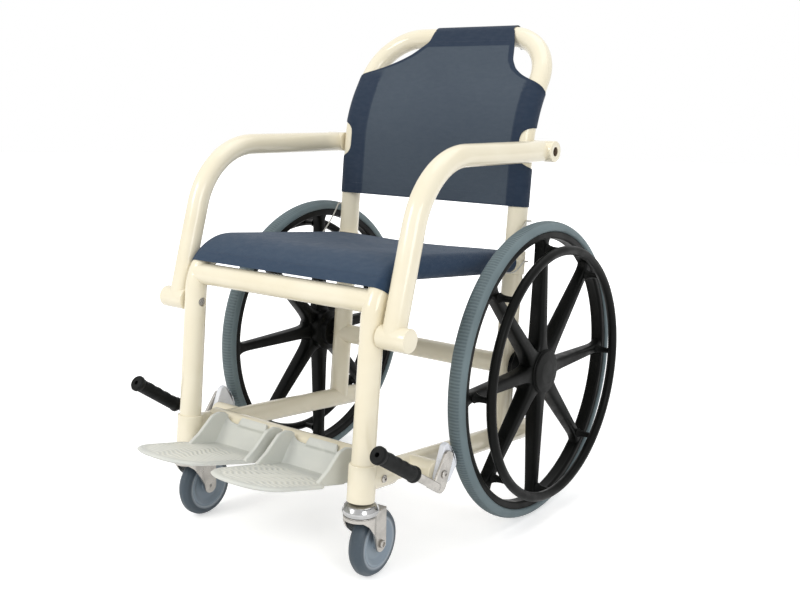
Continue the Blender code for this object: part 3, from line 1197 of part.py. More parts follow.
def build_seat_sling():
    """Seat cloth over the two seat rails, from the front bend to the rear posts."""
    bend_u = FRONT_POST_U + SEAT_BEND_RADIUS
    bend_w = SEAT_RAIL_W - SEAT_BEND_RADIUS
    rows = []
    for k in range(5):
        angle = SEAT_FRONT_ANGLE + (math.pi / 2.0 - SEAT_FRONT_ANGLE) * k / 4.0
        u = bend_u - SEAT_BEND_RADIUS * math.cos(angle)
        w = bend_w + SEAT_BEND_RADIUS * math.sin(angle)
        tip = frame_point(0.0, u - math.cos(angle), w + math.sin(angle))
        centre = frame_point(0.0, u, w)
        rows.append(wrapped_row(centre, (tip - centre).normalized(), SEAT_WRAP_ANGLE))
    rear_u = -(TUBE_RADIUS + SEAT_REAR_GAP)
    centre = frame_point(0.0, rear_u, SEAT_RAIL_W)
    normal = frame_point(0.0, rear_u, SEAT_RAIL_W + 1.0) - centre
    rows.append(wrapped_row(centre, normal.normalized(), SEAT_WRAP_ANGLE))
    return cloth("seat_sling", rows, grid_faces, "seat_fabric")


def build_back_sling():
    """Back cloth: wraps the posts, narrows to a neck and folds over the top of the hoop."""
    hoop = hoop_path()
    left = hoop[:len(hoop) // 2]
    straight = [p for p in left if abs(p.x - POST_X) < WELD]
    axis = Vector((1.0, 0.0, 0.0))
    start = frame_point(POST_X, 0.0, BACK_BOTTOM_W)
    stations = [start] + straight[1:-1]
    rows = []
    for k, station in enumerate(stations):
        normal = path_normal(stations + [straight[-1]], k, axis)
        rows.append(wrapped_row(station, -normal if normal.y > 0.0 else normal, BACK_WRAP_ANGLE))
    side_end = straight[-1]
    slope = (side_end - straight[-2]).normalized()
    front = axis.cross(slope).normalized()
    front = -front if front.y > 0.0 else front
    side_end = straight[-2] + slope * BACK_SIDE_RISE
    rows.append(wrapped_row(side_end, front, BACK_WRAP_ANGLE))
    top = frame_point(*hoop_corners()[2])
    reach = (top - side_end).dot(slope)
    inner_count = 3
    shrink = [(0.20, 0.30), (0.42, 0.62), (0.68, 0.88), (1.0, 1.0)]
    radius = fabric_radius()
    for part, narrow in shrink:
        centre = side_end + slope * (reach * part)
        half_left = POST_X + (NECK_LEFT_X - POST_X) * narrow
        half_right = -POST_X + (NECK_RIGHT_X + POST_X) * narrow
        row = []
        for n in range(inner_count):
            x = half_right + (half_left - half_right) * n / (inner_count - 1)
            row.append(Vector((x, centre.y, centre.z)) + front * radius)
        rows.append(row)
    for k in range(1, 8):
        angle = BACK_WRAP_ANGLE * k / 7.0
        lift = front * math.cos(angle) * radius + slope * math.sin(angle) * radius
        row = []
        for n in range(inner_count):
            x = NECK_RIGHT_X + (NECK_LEFT_X - NECK_RIGHT_X) * n / (inner_count - 1)
            row.append(Vector((x, top.y, top.z)) + lift)
        rows.append(row)
    item = cloth("back_sling", rows, grid_faces, "seat_fabric")
    for tag, side in SIDES:
        pin = arm_crossing()
        outline = (arc((0.0, NOTCH_HALF_HEIGHT - NOTCH_HALF_WIDTH), NOTCH_HALF_WIDTH, 0.0, math.pi, 6)
                   + arc((0.0, NOTCH_HALF_WIDTH - NOTCH_HALF_HEIGHT), NOTCH_HALF_WIDTH, math.pi,
                         2.0 * math.pi, 6))
        outline = [(pin.y - NOTCH_FORWARD + a * math.cos(LEAN) + b * math.sin(LEAN),
                    pin.z + NOTCH_RISE - a * math.sin(LEAN) + b * math.cos(LEAN)) for a, b in outline]
        reach = ARM_X - NOTCH_INNER_X
        notch = upright_plate("notch_" + tag, outline, reach, side * (NOTCH_INNER_X + reach / 2.0))
        cut(item, as_cutter(notch))
    return item


def main():
    """Build every piece."""
    cutters = build_frame_cutters()
    build_side_tubes(cutters)
    build_cross_tubes(cutters)
    build_fittings(cutters)
    build_lower_rails(cutters)
    build_back_hoop(cutters)
    build_brake_stubs(cutters)
    build_small_metal()
    build_cords()
    build_armrests(cutters)
    build_wheels()
    build_casters()
    build_footrests()
    build_brakes(cutters)
    build_seat_sling()
    build_back_sling()


main()
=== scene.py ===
"""Looks of the pool wheelchair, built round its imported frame.

Metres, +Z up, +Y towards the back and +X towards the sitter's left. The side frames lean back
together, so many places are given in frame coordinates, which start at the rear axle: u runs
back along the rails and w up along the posts.
"""

import logging
import math
from collections.abc import Callable, Sequence
from dataclasses import dataclass
from enum import Enum

import bmesh
import bpy
import numpy as np
from mathutils import Matrix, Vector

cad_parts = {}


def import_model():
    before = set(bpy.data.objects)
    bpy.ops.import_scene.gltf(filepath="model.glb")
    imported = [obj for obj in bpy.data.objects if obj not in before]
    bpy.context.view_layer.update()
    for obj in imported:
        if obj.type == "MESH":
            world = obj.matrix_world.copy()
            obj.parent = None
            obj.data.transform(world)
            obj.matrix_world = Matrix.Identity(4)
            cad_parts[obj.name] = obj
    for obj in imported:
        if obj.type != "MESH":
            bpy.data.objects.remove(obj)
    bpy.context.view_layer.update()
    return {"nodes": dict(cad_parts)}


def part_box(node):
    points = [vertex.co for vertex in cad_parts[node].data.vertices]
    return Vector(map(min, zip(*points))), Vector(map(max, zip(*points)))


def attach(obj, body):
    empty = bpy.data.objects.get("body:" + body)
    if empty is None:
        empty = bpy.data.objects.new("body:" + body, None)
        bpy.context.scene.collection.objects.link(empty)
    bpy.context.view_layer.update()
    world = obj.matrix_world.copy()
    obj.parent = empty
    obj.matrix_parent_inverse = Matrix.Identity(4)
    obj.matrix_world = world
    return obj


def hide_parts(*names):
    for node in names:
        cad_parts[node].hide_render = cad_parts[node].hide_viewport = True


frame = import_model()
LOG = logging.getLogger("pool_wheelchair")

Place = Callable[[np.ndarray], np.ndarray]
SIDES = (("L", 1.0), ("R", -1.0))
X_AXIS = (1.0, 0.0, 0.0)
Z_AXIS = (0.0, 0.0, 1.0)
# clearance between two pieces, as in the CAD
GAP = 0.0003
# points nearer than this become one
MERGE = 0.000002
# edges that turn more than this are drawn sharp
CREASE = math.radians(38.0)
# largest turn between two points of a long tube's bend, and the steps round such a tube
BEND_STEP = math.radians(3.0)
TUBE_SIDES = 56
# distance between stitches, and half the length, width and height of one
STITCH_PITCH = 0.003
STITCH_HALVES = (0.00115, 0.00032, 0.00028)


# ---- shapes worked out with numpy


def unit(vectors: np.ndarray) -> np.ndarray:
    """Vectors divided by their own lengths."""
    return vectors / np.linalg.norm(vectors, axis=-1, keepdims=True)


def smooth_step(value: np.ndarray, low: float, high: float) -> np.ndarray:
    """A rise from 0 at low to 1 at high, three t squared less two t cubed."""
    share = np.clip((value - low) / (high - low), 0.0, 1.0)
    return share * share * (3.0 - 2.0 * share)


def rounded_line(corners: Sequence[Sequence[float]], radii: Sequence[float],
                 step: float = math.radians(5.0)) -> np.ndarray:
    """A line through corners, each inner corner replaced by a circular arc.

    On an arc a point is the centre plus the first arm times the cosine of the turn plus the
    direction of travel, as long as the arm, times its sine.

    Args:
        corners: the line's corners, in two or three coordinates.
        radii: one radius for each inner corner.
        step: the largest turn between two points of an arc.

    Returns:
        The points, one row each.
    """
    places = np.asarray(corners, float)
    parts = [places[:1]]
    for before, corner, after, radius in zip(places, places[1:], places[2:], radii):
        back, ahead = unit(before - corner), unit(after - corner)
        turn = math.pi - math.acos(float(np.clip(back @ ahead, -1.0, 1.0)))
        start = corner + back * radius * math.tan(turn / 2.0)
        centre = corner + unit(back + ahead) * radius / math.cos(turn / 2.0)
        angle = np.linspace(0.0, turn, max(2, math.ceil(turn / step)) + 1)[:, None]
        parts.append(centre + (start - centre) * np.cos(angle) - back * radius * np.sin(angle))
    parts.append(places[-1:])
    return np.concatenate(parts)


def rounded_ring(corners: Sequence[Sequence[float]], radii: Sequence[float], step: float) -> np.ndarray:
    """A closed outline, each corner replaced by an arc of its own radius."""
    return rounded_line([corners[-1], *corners, corners[0]], radii, step)[1:-1]


def runs(line: np.ndarray) -> np.ndarray:
    """Length run along a line up to each of its points."""
    return np.concatenate([[0.0], np.cumsum(np.linalg.norm(np.diff(line, axis=0), axis=1))])


def resampled(line: np.ndarray, run: np.ndarray, at: np.ndarray) -> np.ndarray:
    """Points of a line at given lengths run, by linear steps between its own points."""
    return np.stack([np.interp(at, run, line[:, k]) for k in range(line.shape[1])], axis=1)


def spaced(line: np.ndarray, gap: float) -> np.ndarray:
    """The same line with points about a gap apart."""
    run = runs(line)
    return resampled(line, run, np.linspace(0.0, run[-1], max(2, round(float(run[-1]) / gap) + 1)))


def length_of(line: np.ndarray) -> float:
    """Length of a line of points."""
    return float(np.linalg.norm(np.diff(line, axis=0), axis=1).sum())


def circle(sides: int) -> np.ndarray:
    """Points of a unit circle: cosine and sine of equal steps."""
    angle = np.arange(sides) * (2.0 * math.pi / sides)
    return np.stack([np.cos(angle), np.sin(angle)], axis=1)


def signed_power(value: np.ndarray, power: float) -> np.ndarray:
    """A value's size to a power, with the value's own sign."""
    return np.sign(value) * np.abs(value) ** power


def superellipse(half_a: np.ndarray, half_b: np.ndarray, power: float, sides: int) -> np.ndarray:
    """A rounded box: each half width times the signed cosine or sine to the power 2 / power."""
    shaped = signed_power(circle(sides), 2.0 / power)
    halves = np.stack([np.atleast_1d(half_a), np.atleast_1d(half_b)], axis=1)
    return shaped[None] * halves[:, None]


def swept(line: np.ndarray, section: np.ndarray, reference: Sequence[float],
          along: np.ndarray | None = None) -> np.ndarray:
    """Carry a closed section along a line.

    A point is the line's point plus the section's first coordinate times the side direction,
    which is the reference less its share along the tangent, plus its second times the cross
    product of the tangent and that side.

    Args:
        line: points of the centre line.
        section: one section for all points, or one for each.
        reference: a direction that the line never runs along.
        along: tangents, where they aren't the line's own.

    Returns:
        A grid of points, one row for each point of the line.
    """
    tangent = unit(np.gradient(line, axis=0)) if along is None else along
    ref = np.asarray(reference, float)
    side = unit(ref - (tangent @ ref)[:, None] * tangent)
    lift = np.cross(tangent, side)
    section = np.broadcast_to(section, (len(line), *section.shape[-2:]))
    return line[:, None] + section[..., :1] * side[:, None] + section[..., 1:] * lift[:, None]


class TubeEnd(Enum):
    """How a tube ends: pairs of distance past its last point and share of its radius."""

    BURIED = ((0.0, 1.0), (0.0, 0.0))
    FLAT = ((-0.0016, 1.0), (-0.0009, 0.992), (-0.0003, 0.972), (0.0, 0.935), (0.0, 0.0))
    DOMED = ((-0.0080, 1.0), (-0.0045, 0.965), (-0.0018, 0.86), (-0.0004, 0.66), (0.0, 0.34), (0.0, 0.0))
    BORED = ((-0.0026, 1.0), (-0.0016, 0.995), (-0.0006, 0.975), (0.0, 0.93), (0.0, 0.50),
             (-0.0006, 0.45), (-0.0020, 0.43), (-0.0160, 0.43), (-0.0160, 0.0))


def pipe(line: np.ndarray, radius: float, reference: Sequence[float], start: TubeEnd = TubeEnd.BURIED,
         end: TubeEnd = TubeEnd.BURIED, sides: int = 48) -> np.ndarray:
    """A round tube along a line, closed at both ends in the way that each end names."""
    tangent = unit(np.gradient(line, axis=0))
    first, last = np.array(start.value)[::-1], np.array(end.value)
    centres = np.concatenate([line[0] - first[:, :1] * tangent[0], line[1:-1],
                              line[-1] + last[:, :1] * tangent[-1]])
    along = np.concatenate([np.repeat(tangent[:1], len(first), 0), tangent[1:-1],
                            np.repeat(tangent[-1:], len(last), 0)])
    share = np.concatenate([first[:, 1], np.ones(len(line) - 2), last[:, 1]])
    return swept(centres, share[:, None, None] * radius * circle(sides), reference, along)


def straight(start: np.ndarray, end: np.ndarray, count: int = 5) -> np.ndarray:
    """Points in equal steps from one place to another."""
    return np.linspace(np.asarray(start, float), np.asarray(end, float), count)


def outward(place: np.ndarray, side: float, low: float, high: float) -> np.ndarray:
    """Points in equal steps along X, between two distances outboard of a place."""
    return straight(place + (low * side, 0.0, 0.0), place + (high * side, 0.0, 0.0))


def capped(grid: np.ndarray) -> np.ndarray:
    """Rings closed at both ends by one more ring, drawn together to its middle."""
    first, last = (ring.mean(axis=1, keepdims=True).repeat(grid.shape[1], 1)
                   for ring in (grid[:1], grid[-1:]))
    return np.concatenate([first, grid, last])


def turned(profile: np.ndarray | Sequence[Sequence[float]], centre: Sequence[float], axis: Sequence[float],
           sides: int) -> np.ndarray:
    """A profile of radius and distance along an axis, turned about that axis.

    Args:
        profile: rows of radius and distance from the centre.
        centre: a point on the axis.
        axis: the axis, of length one.
        sides: steps round the turn.

    Returns:
        A grid of points, one row for each point of the profile.
    """
    profile = np.asarray(profile, float)
    axis = np.asarray(axis, float)
    line = np.asarray(centre, float) + profile[:, 1:] * axis
    reference = Z_AXIS if abs(axis[2]) < 0.9 else (0.0, 1.0, 0.0)
    return swept(line, profile[:, :1, None] * circle(sides), reference, np.repeat(axis[None], len(line), 0))


def inset(outline: np.ndarray, distance: float) -> np.ndarray:
    """A closed outline moved inwards along its own normals, whichever way round it runs."""
    ahead = np.roll(outline, -1, axis=0) - np.roll(outline, 1, axis=0)
    normal = unit(np.stack([ahead[:, 1], -ahead[:, 0]], axis=1))
    nxt = np.roll(outline, -1, axis=0)
    area = float((outline[:, 0] * nxt[:, 1] - nxt[:, 0] * outline[:, 1]).sum())
    return outline - normal * distance * math.copysign(1.0, area)


def upright(x: float) -> Place:
    """A place for slabs that stand across X: their outline is in y and z."""
    return lambda p: np.stack([x + p[..., 2], p[..., 0], p[..., 1]], axis=-1)


def tipped(points: np.ndarray, pivot: np.ndarray, angle: float) -> np.ndarray:
    """Points turned about the X direction through a pivot."""
    turn = np.array(Matrix.Rotation(angle, 3, "X"))
    return (points - pivot) @ turn.T + pivot


class Shell:
    """Grids of points gathered into one closed mesh, with UVs in metres and a hem mask."""

    # points of a slab's rounded edge, and how far inside it the flat face starts
    EDGE_POINTS = 5
    FACE_MARGIN = 0.0005

    def __init__(self) -> None:
        """Start with nothing in it."""
        self.points: list[np.ndarray] = []
        self.faces: list[list[int]] = []
        self.corner_uv: list[np.ndarray] = []
        self.hem: list[np.ndarray] = []
        self.count = 0

    def add(self, grid: np.ndarray, wrap_rows: bool = False, wrap_cols: bool = True,
            hem: np.ndarray | None = None, flat: np.ndarray | None = None) -> "Shell":
        """Add a grid of points as quads.

        A corner's UV is its place on the flat cloth where that is given, or else the mean length
        run across the columns and along the rows.

        Args:
            grid: points by row and column.
            wrap_rows: join the last row to the first.
            wrap_cols: join the last column to the first.
            hem: a value of 0 to 1 for each point, which some finishes read.
            flat: each point's place on the flat cloth.

        Returns:
            The shell itself.
        """
        rows, cols = grid.shape[:2]
        row, col = np.meshgrid(np.arange(rows if wrap_rows else rows - 1),
                               np.arange(cols if wrap_cols else cols - 1), indexing="ij")
        row, col = row.ravel(), col.ravel()
        below, right = (row + 1) % rows, (col + 1) % cols
        quads = np.stack([row * cols + col, row * cols + right, below * cols + right, below * cols + col], 1)
        across, along = self._run(grid, 1), self._run(grid, 0)
        uv = np.stack([across[np.stack([col, col + 1, col + 1, col], 1)],
                       along[np.stack([row, row, row + 1, row + 1], 1)]], axis=2)
        if flat is not None:
            uv = flat.reshape(-1, 2)[quads]
        self.faces += (quads + self.count).tolist()
        self.corner_uv.append(uv.reshape(-1, 2))
        self.points.append(grid.reshape(-1, 3))
        self.hem.append(np.zeros(rows * cols) if hem is None else np.broadcast_to(hem, (rows, cols)).ravel())
        self.count += rows * cols
        return self

    @staticmethod
    def _run(grid: np.ndarray, axis: int) -> np.ndarray:
        """Length run along one axis of a grid, as a mean over the other, with the closing step."""
        steps = np.linalg.norm(np.roll(grid, -1, axis) - grid, axis=2).mean(axis=1 - axis)
        return np.concatenate([[0.0], np.cumsum(steps)])

    def fill(self, loop: np.ndarray) -> "Shell":
        """Add one flat face across a closed loop of points."""
        self.faces.append(list(range(self.count, self.count + len(loop))))
        self.corner_uv.append(loop[:, 1:])
        self.points.append(loop)
        self.hem.append(np.zeros(len(loop)))
        self.count += len(loop)
        return self

    def slab(self, outline: np.ndarray, thickness: float, bevel: float, place: Place) -> "Shell":
        """Add a flat plate whose edges are rounded by a quarter circle on both faces."""
        angle = np.linspace(0.0, math.pi / 2.0, self.EDGE_POINTS)
        inward = np.concatenate([[bevel + self.FACE_MARGIN], bevel * (1.0 - np.sin(angle))])
        depth = np.concatenate([[thickness / 2.0], thickness / 2.0 - bevel * (1.0 - np.cos(angle))])
        inward, depth = np.concatenate([inward, inward[::-1]]), np.concatenate([depth, -depth[::-1]])
        grid = place(np.stack([np.column_stack([inset(outline, i), np.full(len(outline), d)])
                               for i, d in zip(inward, depth)]))
        return self.add(grid).fill(grid[0]).fill(grid[-1])

    def sheet(self, outer: np.ndarray, inner: np.ndarray, hem: np.ndarray | None = None,
              flat: np.ndarray | None = None) -> "Shell":
        """Add a thin sheet: two faces and the four strips that close its edges."""
        for face in (outer, inner):
            self.add(face, wrap_cols=False, hem=hem, flat=flat)
        for edge in (0, -1):
            for cut in (np.s_[edge], np.s_[:, edge]):
                self.add(np.stack([outer[cut], inner[cut]]), wrap_cols=False,
                         hem=None if hem is None else np.stack([hem[cut]] * 2))
        return self

    def build(self, name: str, finish: "Finish", crease: float = CREASE) -> bpy.types.Object:
        """Turn the gathered faces into an object with one finish.

        Args:
            name: the object's name.
            finish: its finish.
            crease: edges that turn more than this are drawn sharp.

        Returns:
            The new object.
        """
        mesh = bpy.data.meshes.new(name)
        mesh.from_pydata(np.concatenate(self.points).tolist(), [], self.faces)
        uv = mesh.uv_layers.new(name="metres")
        uv.data.foreach_set("uv", np.concatenate(self.corner_uv).astype(np.float32).ravel())
        mask = mesh.attributes.new("hem", "FLOAT", "POINT")
        mask.data.foreach_set("value", np.concatenate(self.hem).astype(np.float32))
        work = bmesh.new()
        work.from_mesh(mesh)
        bmesh.ops.remove_doubles(work, verts=work.verts, dist=MERGE)
        bmesh.ops.recalc_face_normals(work, faces=work.faces)
        work.to_mesh(mesh)
        work.free()
        mesh.shade_smooth()
        mesh.set_sharp_from_angle(angle=crease)
        item = bpy.data.objects.new(name, mesh)
        bpy.context.scene.collection.objects.link(item)
        item.data.materials.append(finish.material())
        return item


# ---- finishes


def dimmed(colour: Sequence[float], share: float) -> tuple[float, ...]:
    """A colour with its light cut to a share."""
    return (*(part * share for part in colour[:3]), 1.0)


def linear(red: int, green: int, blue: int) -> tuple[float, float, float, float]:
    """Linear colour of sRGB bytes, by the sRGB curve."""
    share = np.array([red, green, blue]) / 255.0
    value = np.where(share <= 0.04045, share / 12.92, ((share + 0.055) / 1.055) ** 2.4)
    return (*value.tolist(), 1.0)


class Graph:
    """The shader nodes of one material."""

    def __init__(self, name: str) -> None:
        """Make a material with its Principled shader."""
        self.material = bpy.data.materials.new(name)
        self.material.use_nodes = True
        self.tree = self.material.node_tree
        self.shader = self.tree.nodes["Principled BSDF"]

    def add(self, kind: str, inputs: dict | None = None, **settings) -> bpy.types.Node:
        """Add a node, set its options and set or link its inputs."""
        node = self.tree.nodes.new("ShaderNode" + kind)
        for key, value in settings.items():
            setattr(node, key, value)
        self.feed(node, inputs or {})
        return node

    def feed(self, node: bpy.types.Node, inputs: dict) -> None:
        """Set or link a node's inputs, by name or number."""
        for key, value in inputs.items():
            if isinstance(value, bpy.types.NodeSocket):
                self.tree.links.new(value, node.inputs[key])
            else:
                node.inputs[key].default_value = value

    def finish(self, **inputs) -> None:
        """Set or link the shader's sockets; underscores stand for spaces."""
        self.feed(self.shader, {key.replace("_", " "): value for key, value in inputs.items()})

    def coordinates(self, kind: str = "Object",
                    scale: Sequence[float] = (1.0, 1.0, 1.0)) -> bpy.types.NodeSocket:
        """Object or UV coordinates, scaled."""
        source = self.add("TexCoord").outputs[kind]
        return self.add("Mapping", {"Vector": source, "Scale": scale}).outputs[0]

    def noise(self, vector: bpy.types.NodeSocket, scale: float, detail: float = 3.0) -> bpy.types.NodeSocket:
        """Noise of a scale and detail."""
        return self.add("TexNoise", {"Vector": vector, "Scale": scale, "Detail": detail}).outputs[0]

    def mask(self) -> bpy.types.NodeSocket:
        """The mesh's own mask: hems on cloth; elsewhere the places where a finish paints shade or a
        highlight, and a caster tyre's pale ring.
        """
        return self.add("Attribute", attribute_name="hem").outputs["Fac"]

    def ranged(self, value: bpy.types.NodeSocket, low: float, high: float, to_low: float = 0.0,
               to_high: float = 1.0) -> bpy.types.NodeSocket:
        """A value carried from one range to another, and held inside it."""
        node = self.add("MapRange", {0: value, 1: low, 2: high, 3: to_low, 4: to_high}, clamp=True)
        return node.outputs[0]

    def calc(self, operation: str, first: object, second: object = 0.0) -> bpy.types.NodeSocket:
        """One math operation on two values or sockets."""
        return self.add("Math", {0: first, 1: second}, operation=operation).outputs[0]

    def blend(self, share: object, first: object, second: object) -> bpy.types.NodeSocket:
        """A colour between two colours."""
        return self.add("Mix", {0: share, 6: first, 7: second}, data_type="RGBA").outputs[2]

    def bump(self, height: object, strength: float, distance: float) -> bpy.types.NodeSocket:
        """A surface normal from a height."""
        return self.add("Bump", {"Height": height, "Strength": strength, "Distance": distance}).outputs[0]


@dataclass(frozen=True)
class Finish:
    """A named finish, whose material is made once."""

    name: str

    def dress(self, graph: Graph) -> None:
        """Lay out the nodes of the finish."""
        raise NotImplementedError

    def material(self) -> bpy.types.Material:
        """The finish as a Blender material."""
        found = bpy.data.materials.get("finish_" + self.name)
        if found:
            return found
        graph = Graph("finish_" + self.name)
        self.dress(graph)
        return graph.material


@dataclass(frozen=True)
class Moulded(Finish):
    """Moulded or extruded plastic and rubber.

    Two near colours drift into each other, scuffs roughen long patches, a fine grain lifts the
    surface, and a mask colours what the mesh marks: painted shade in grooves and recesses, a
    painted highlight on ridge tops, or a ring of the thing's own colour.
    """

    colour: tuple = (0.5, 0.5, 0.5, 1.0)
    drift: tuple = (0.5, 0.5, 0.5, 1.0)
    rough: tuple = (0.3, 0.4)
    grain: float = 600.0
    grain_depth: float = 0.00004
    scuff: tuple = (0.6, 0.6, 0.6, 1.0)
    scuff_share: float = 0.25
    scuff_stretch: tuple = (1.0, 1.0, 6.0)
    specular: float = 0.5
    mark_or_painted_light: tuple = (0.5, 0.5, 0.5, 1.0)
    mark_or_painted_light_share: float = 0.0
    drift_scale: float = 9.0
    drift_range: tuple = (0.38, 0.62)
    scuff_scale: float = 42.0
    scuff_range: tuple = (0.60, 0.74)
    scuff_dulling: float = 0.5
    rough_scale: float = 31.0
    rough_range: tuple = (0.35, 0.65)
    grain_strength: float = 0.6

    def dress(self, graph: Graph) -> None:
        """Lay out the nodes of the finish."""
        place = graph.coordinates()
        drift = graph.ranged(graph.noise(place, self.drift_scale), *self.drift_range)
        scuffs = graph.noise(graph.coordinates(scale=self.scuff_stretch), self.scuff_scale, 6.0)
        scuffs = graph.ranged(scuffs, *self.scuff_range, 0.0, self.scuff_share)
        colour = graph.blend(scuffs, graph.blend(drift, self.colour, self.drift), self.scuff)
        # the masked colour is painted shade in grooves and recesses, a painted highlight on ridge tops, and
        # on the caster tyre its real pale ring
        if self.mark_or_painted_light_share:
            colour = graph.blend(graph.calc("MULTIPLY", graph.mask(), self.mark_or_painted_light_share), colour, self.mark_or_painted_light)
        rough = graph.ranged(graph.noise(place, self.rough_scale), *self.rough_range, *self.rough)
        rough = graph.calc("ADD", rough, graph.calc("MULTIPLY", scuffs, self.scuff_dulling))
        normal = graph.bump(graph.noise(place, self.grain, 2.0), self.grain_strength, self.grain_depth)
        graph.finish(Base_Color=colour, Roughness=rough, Normal=normal, Specular_IOR_Level=self.specular)


@dataclass(frozen=True)
class Metal(Finish):
    """Brushed or polished metal: long fine streaks and a few dull smudges."""

    colour: tuple = (0.56, 0.54, 0.5, 1.0)
    rough: tuple = (0.25, 0.4)
    streak: tuple = (1.0, 30.0, 30.0)
    streak_depth: float = 0.00003
    streak_scale: float = 60.0
    smudge_scale: float = 45.0
    smudge_range: tuple = (0.42, 0.70)
    smudge_dulling: float = 0.5
    dull_share: float = 0.80
    rough_range: tuple = (0.35, 1.0)

    def dress(self, graph: Graph) -> None:
        """Lay out the nodes of the finish."""
        streaks = graph.noise(graph.coordinates(scale=self.streak), self.streak_scale, 5.0)
        smudge = graph.ranged(graph.noise(graph.coordinates(), self.smudge_scale, 4.0), *self.smudge_range)
        uneven = graph.calc("ADD", streaks, graph.calc("MULTIPLY", smudge, self.smudge_dulling))
        colour = graph.blend(smudge, self.colour, dimmed(self.colour, self.dull_share))
        graph.finish(Base_Color=colour, Roughness=graph.ranged(uneven, *self.rough_range, *self.rough),
                     Metallic=1.0, Normal=graph.bump(streaks, 0.5, self.streak_depth))


@dataclass(frozen=True)
class Weave(Finish):
    """Open plain-weave cloth of coated yarn, with a closer, darker double layer at its hems.

    Along one yarn the surface goes over and under the other, as the sign of the product of two
    sines; the height of each yarn is the cosine across it. The low parts between the yarns take a
    darker colour: painted shade in the gaps.
    """

    colour: tuple = (0.1, 0.1, 0.1, 1.0)
    lit: tuple = (0.12, 0.12, 0.12, 1.0)
    hem: tuple = (0.05, 0.05, 0.05, 1.0)
    pitch: float = 0.0019
    yarn_depth: float = 0.00035
    gap_shade_share: float = 0.62
    hem_share: float = 0.85
    cloud_scale: float = 5.0
    fade_scale: float = 60.0
    rough: tuple = (0.62, 0.82)

    def dress(self, graph: Graph) -> None:
        """Lay out the nodes of the finish."""
        turns = math.pi / self.pitch
        split = graph.add("SeparateXYZ", {0: graph.coordinates("UV")})
        u = graph.calc("MULTIPLY", split.outputs[0], turns)
        v = graph.calc("MULTIPLY", split.outputs[1], turns)
        warp = graph.calc("ABSOLUTE", graph.calc("COSINE", u))
        weft = graph.calc("ABSOLUTE", graph.calc("COSINE", v))
        over = graph.calc("MULTIPLY", graph.calc("SINE", u), graph.calc("SINE", v))
        over = graph.ranged(over, -0.35, 0.35)
        height = graph.calc("ADD", graph.calc("MULTIPLY", warp, over),
                            graph.calc("MULTIPLY", weft, graph.calc("SUBTRACT", 1.0, over)))
        place = graph.coordinates()
        cloud = graph.ranged(graph.noise(place, self.cloud_scale, 4.0), 0.36, 0.64)
        fade = graph.noise(graph.coordinates(scale=(1.0, 1.0, 3.0)), self.fade_scale, 4.0)
        base = graph.blend(cloud, self.colour, self.lit)
        # darker where the weave is low: painted shade between the yarns
        yarn = graph.blend(graph.ranged(height, 0.35, 0.95), dimmed(self.colour, self.gap_shade_share), base)
        colour = graph.blend(graph.calc("MULTIPLY", graph.mask(), self.hem_share), yarn, self.hem)
        rough = graph.ranged(graph.ranged(fade, 0.3, 0.7), 0.0, 1.0, *self.rough)
        graph.finish(Base_Color=colour, Roughness=rough, Sheen_Weight=0.06, Sheen_Roughness=0.5,
                     Specular_IOR_Level=0.22, Normal=graph.bump(height, 0.75, self.yarn_depth))


@dataclass(frozen=True)
class Braid(Finish):
    """Fine braided cord: two sets of strands that cross on the slant, darker in the dips between them as
    painted shade.
    """

    colour: tuple = (0.6, 0.6, 0.58, 1.0)
    dip_shade: tuple = (0.35, 0.35, 0.34, 1.0)
    pitch: float = 0.0016

    def dress(self, graph: Graph) -> None:
        """Lay out the nodes of the finish."""
        split = graph.add("SeparateXYZ", {0: graph.coordinates("UV")})
        turns = 2.0 * math.pi / self.pitch
        right = graph.calc("MULTIPLY", graph.calc("ADD", split.outputs[0], split.outputs[1]), turns)
        left = graph.calc("MULTIPLY", graph.calc("SUBTRACT", split.outputs[0], split.outputs[1]), turns)
        height = graph.calc("MULTIPLY", graph.calc("SINE", right), graph.calc("SINE", left))
        height = graph.ranged(height, -1.0, 1.0)
        # darker where the braid is low: painted shade in the dips
        graph.finish(Base_Color=graph.blend(height, self.dip_shade, self.colour), Roughness=0.7, Sheen_Weight=0.2,
                     Normal=graph.bump(height, 0.6, 0.0003))


# its masked colour is dark brown painted shade inside the armrests' bores
PIPE = Moulded("cream_pipe", colour=linear(230, 222, 199), drift=linear(226, 217, 192), rough=(0.09, 0.18),
               grain=240.0, grain_depth=0.00002, scuff=linear(206, 198, 180), scuff_share=0.05,
               scuff_stretch=(1.0, 1.0, 1.0), mark_or_painted_light=linear(70, 46, 30), mark_or_painted_light_share=0.9)
# its masked colour is painted shade in the tread's cross grooves
TYRE = Moulded("grey_tyre", colour=linear(99, 113, 117), drift=linear(107, 122, 126), rough=(0.48, 0.64),
               grain=900.0, grain_depth=0.00006, scuff=linear(134, 146, 148), scuff_share=0.22,
               scuff_stretch=(8.0, 1.0, 1.0), specular=0.30, mark_or_painted_light=linear(52, 62, 66), mark_or_painted_light_share=0.5)
BLACK = Moulded("black_nylon", colour=linear(6, 7, 6), drift=linear(9, 10, 9), rough=(0.34, 0.50),
                grain=1100.0, grain_depth=0.00004, scuff=linear(28, 29, 27), scuff_share=0.25, specular=0.10)
STAINLESS = Metal("brushed_steel", colour=(0.47, 0.45, 0.42, 1.0), rough=(0.20, 0.40))
CHROME = Metal("chrome", colour=(0.44, 0.44, 0.44, 1.0), rough=(0.14, 0.26), streak=(6.0, 6.0, 6.0),
               streak_depth=0.000004)
CASTER_RUBBER = Moulded("caster_rubber", colour=linear(54, 66, 76), drift=linear(62, 75, 85),
                        rough=(0.42, 0.58), grain=1300.0, grain_depth=0.00005, scuff=linear(98, 108, 114),
                        scuff_share=0.3, mark_or_painted_light=linear(164, 173, 182), mark_or_painted_light_share=0.9)
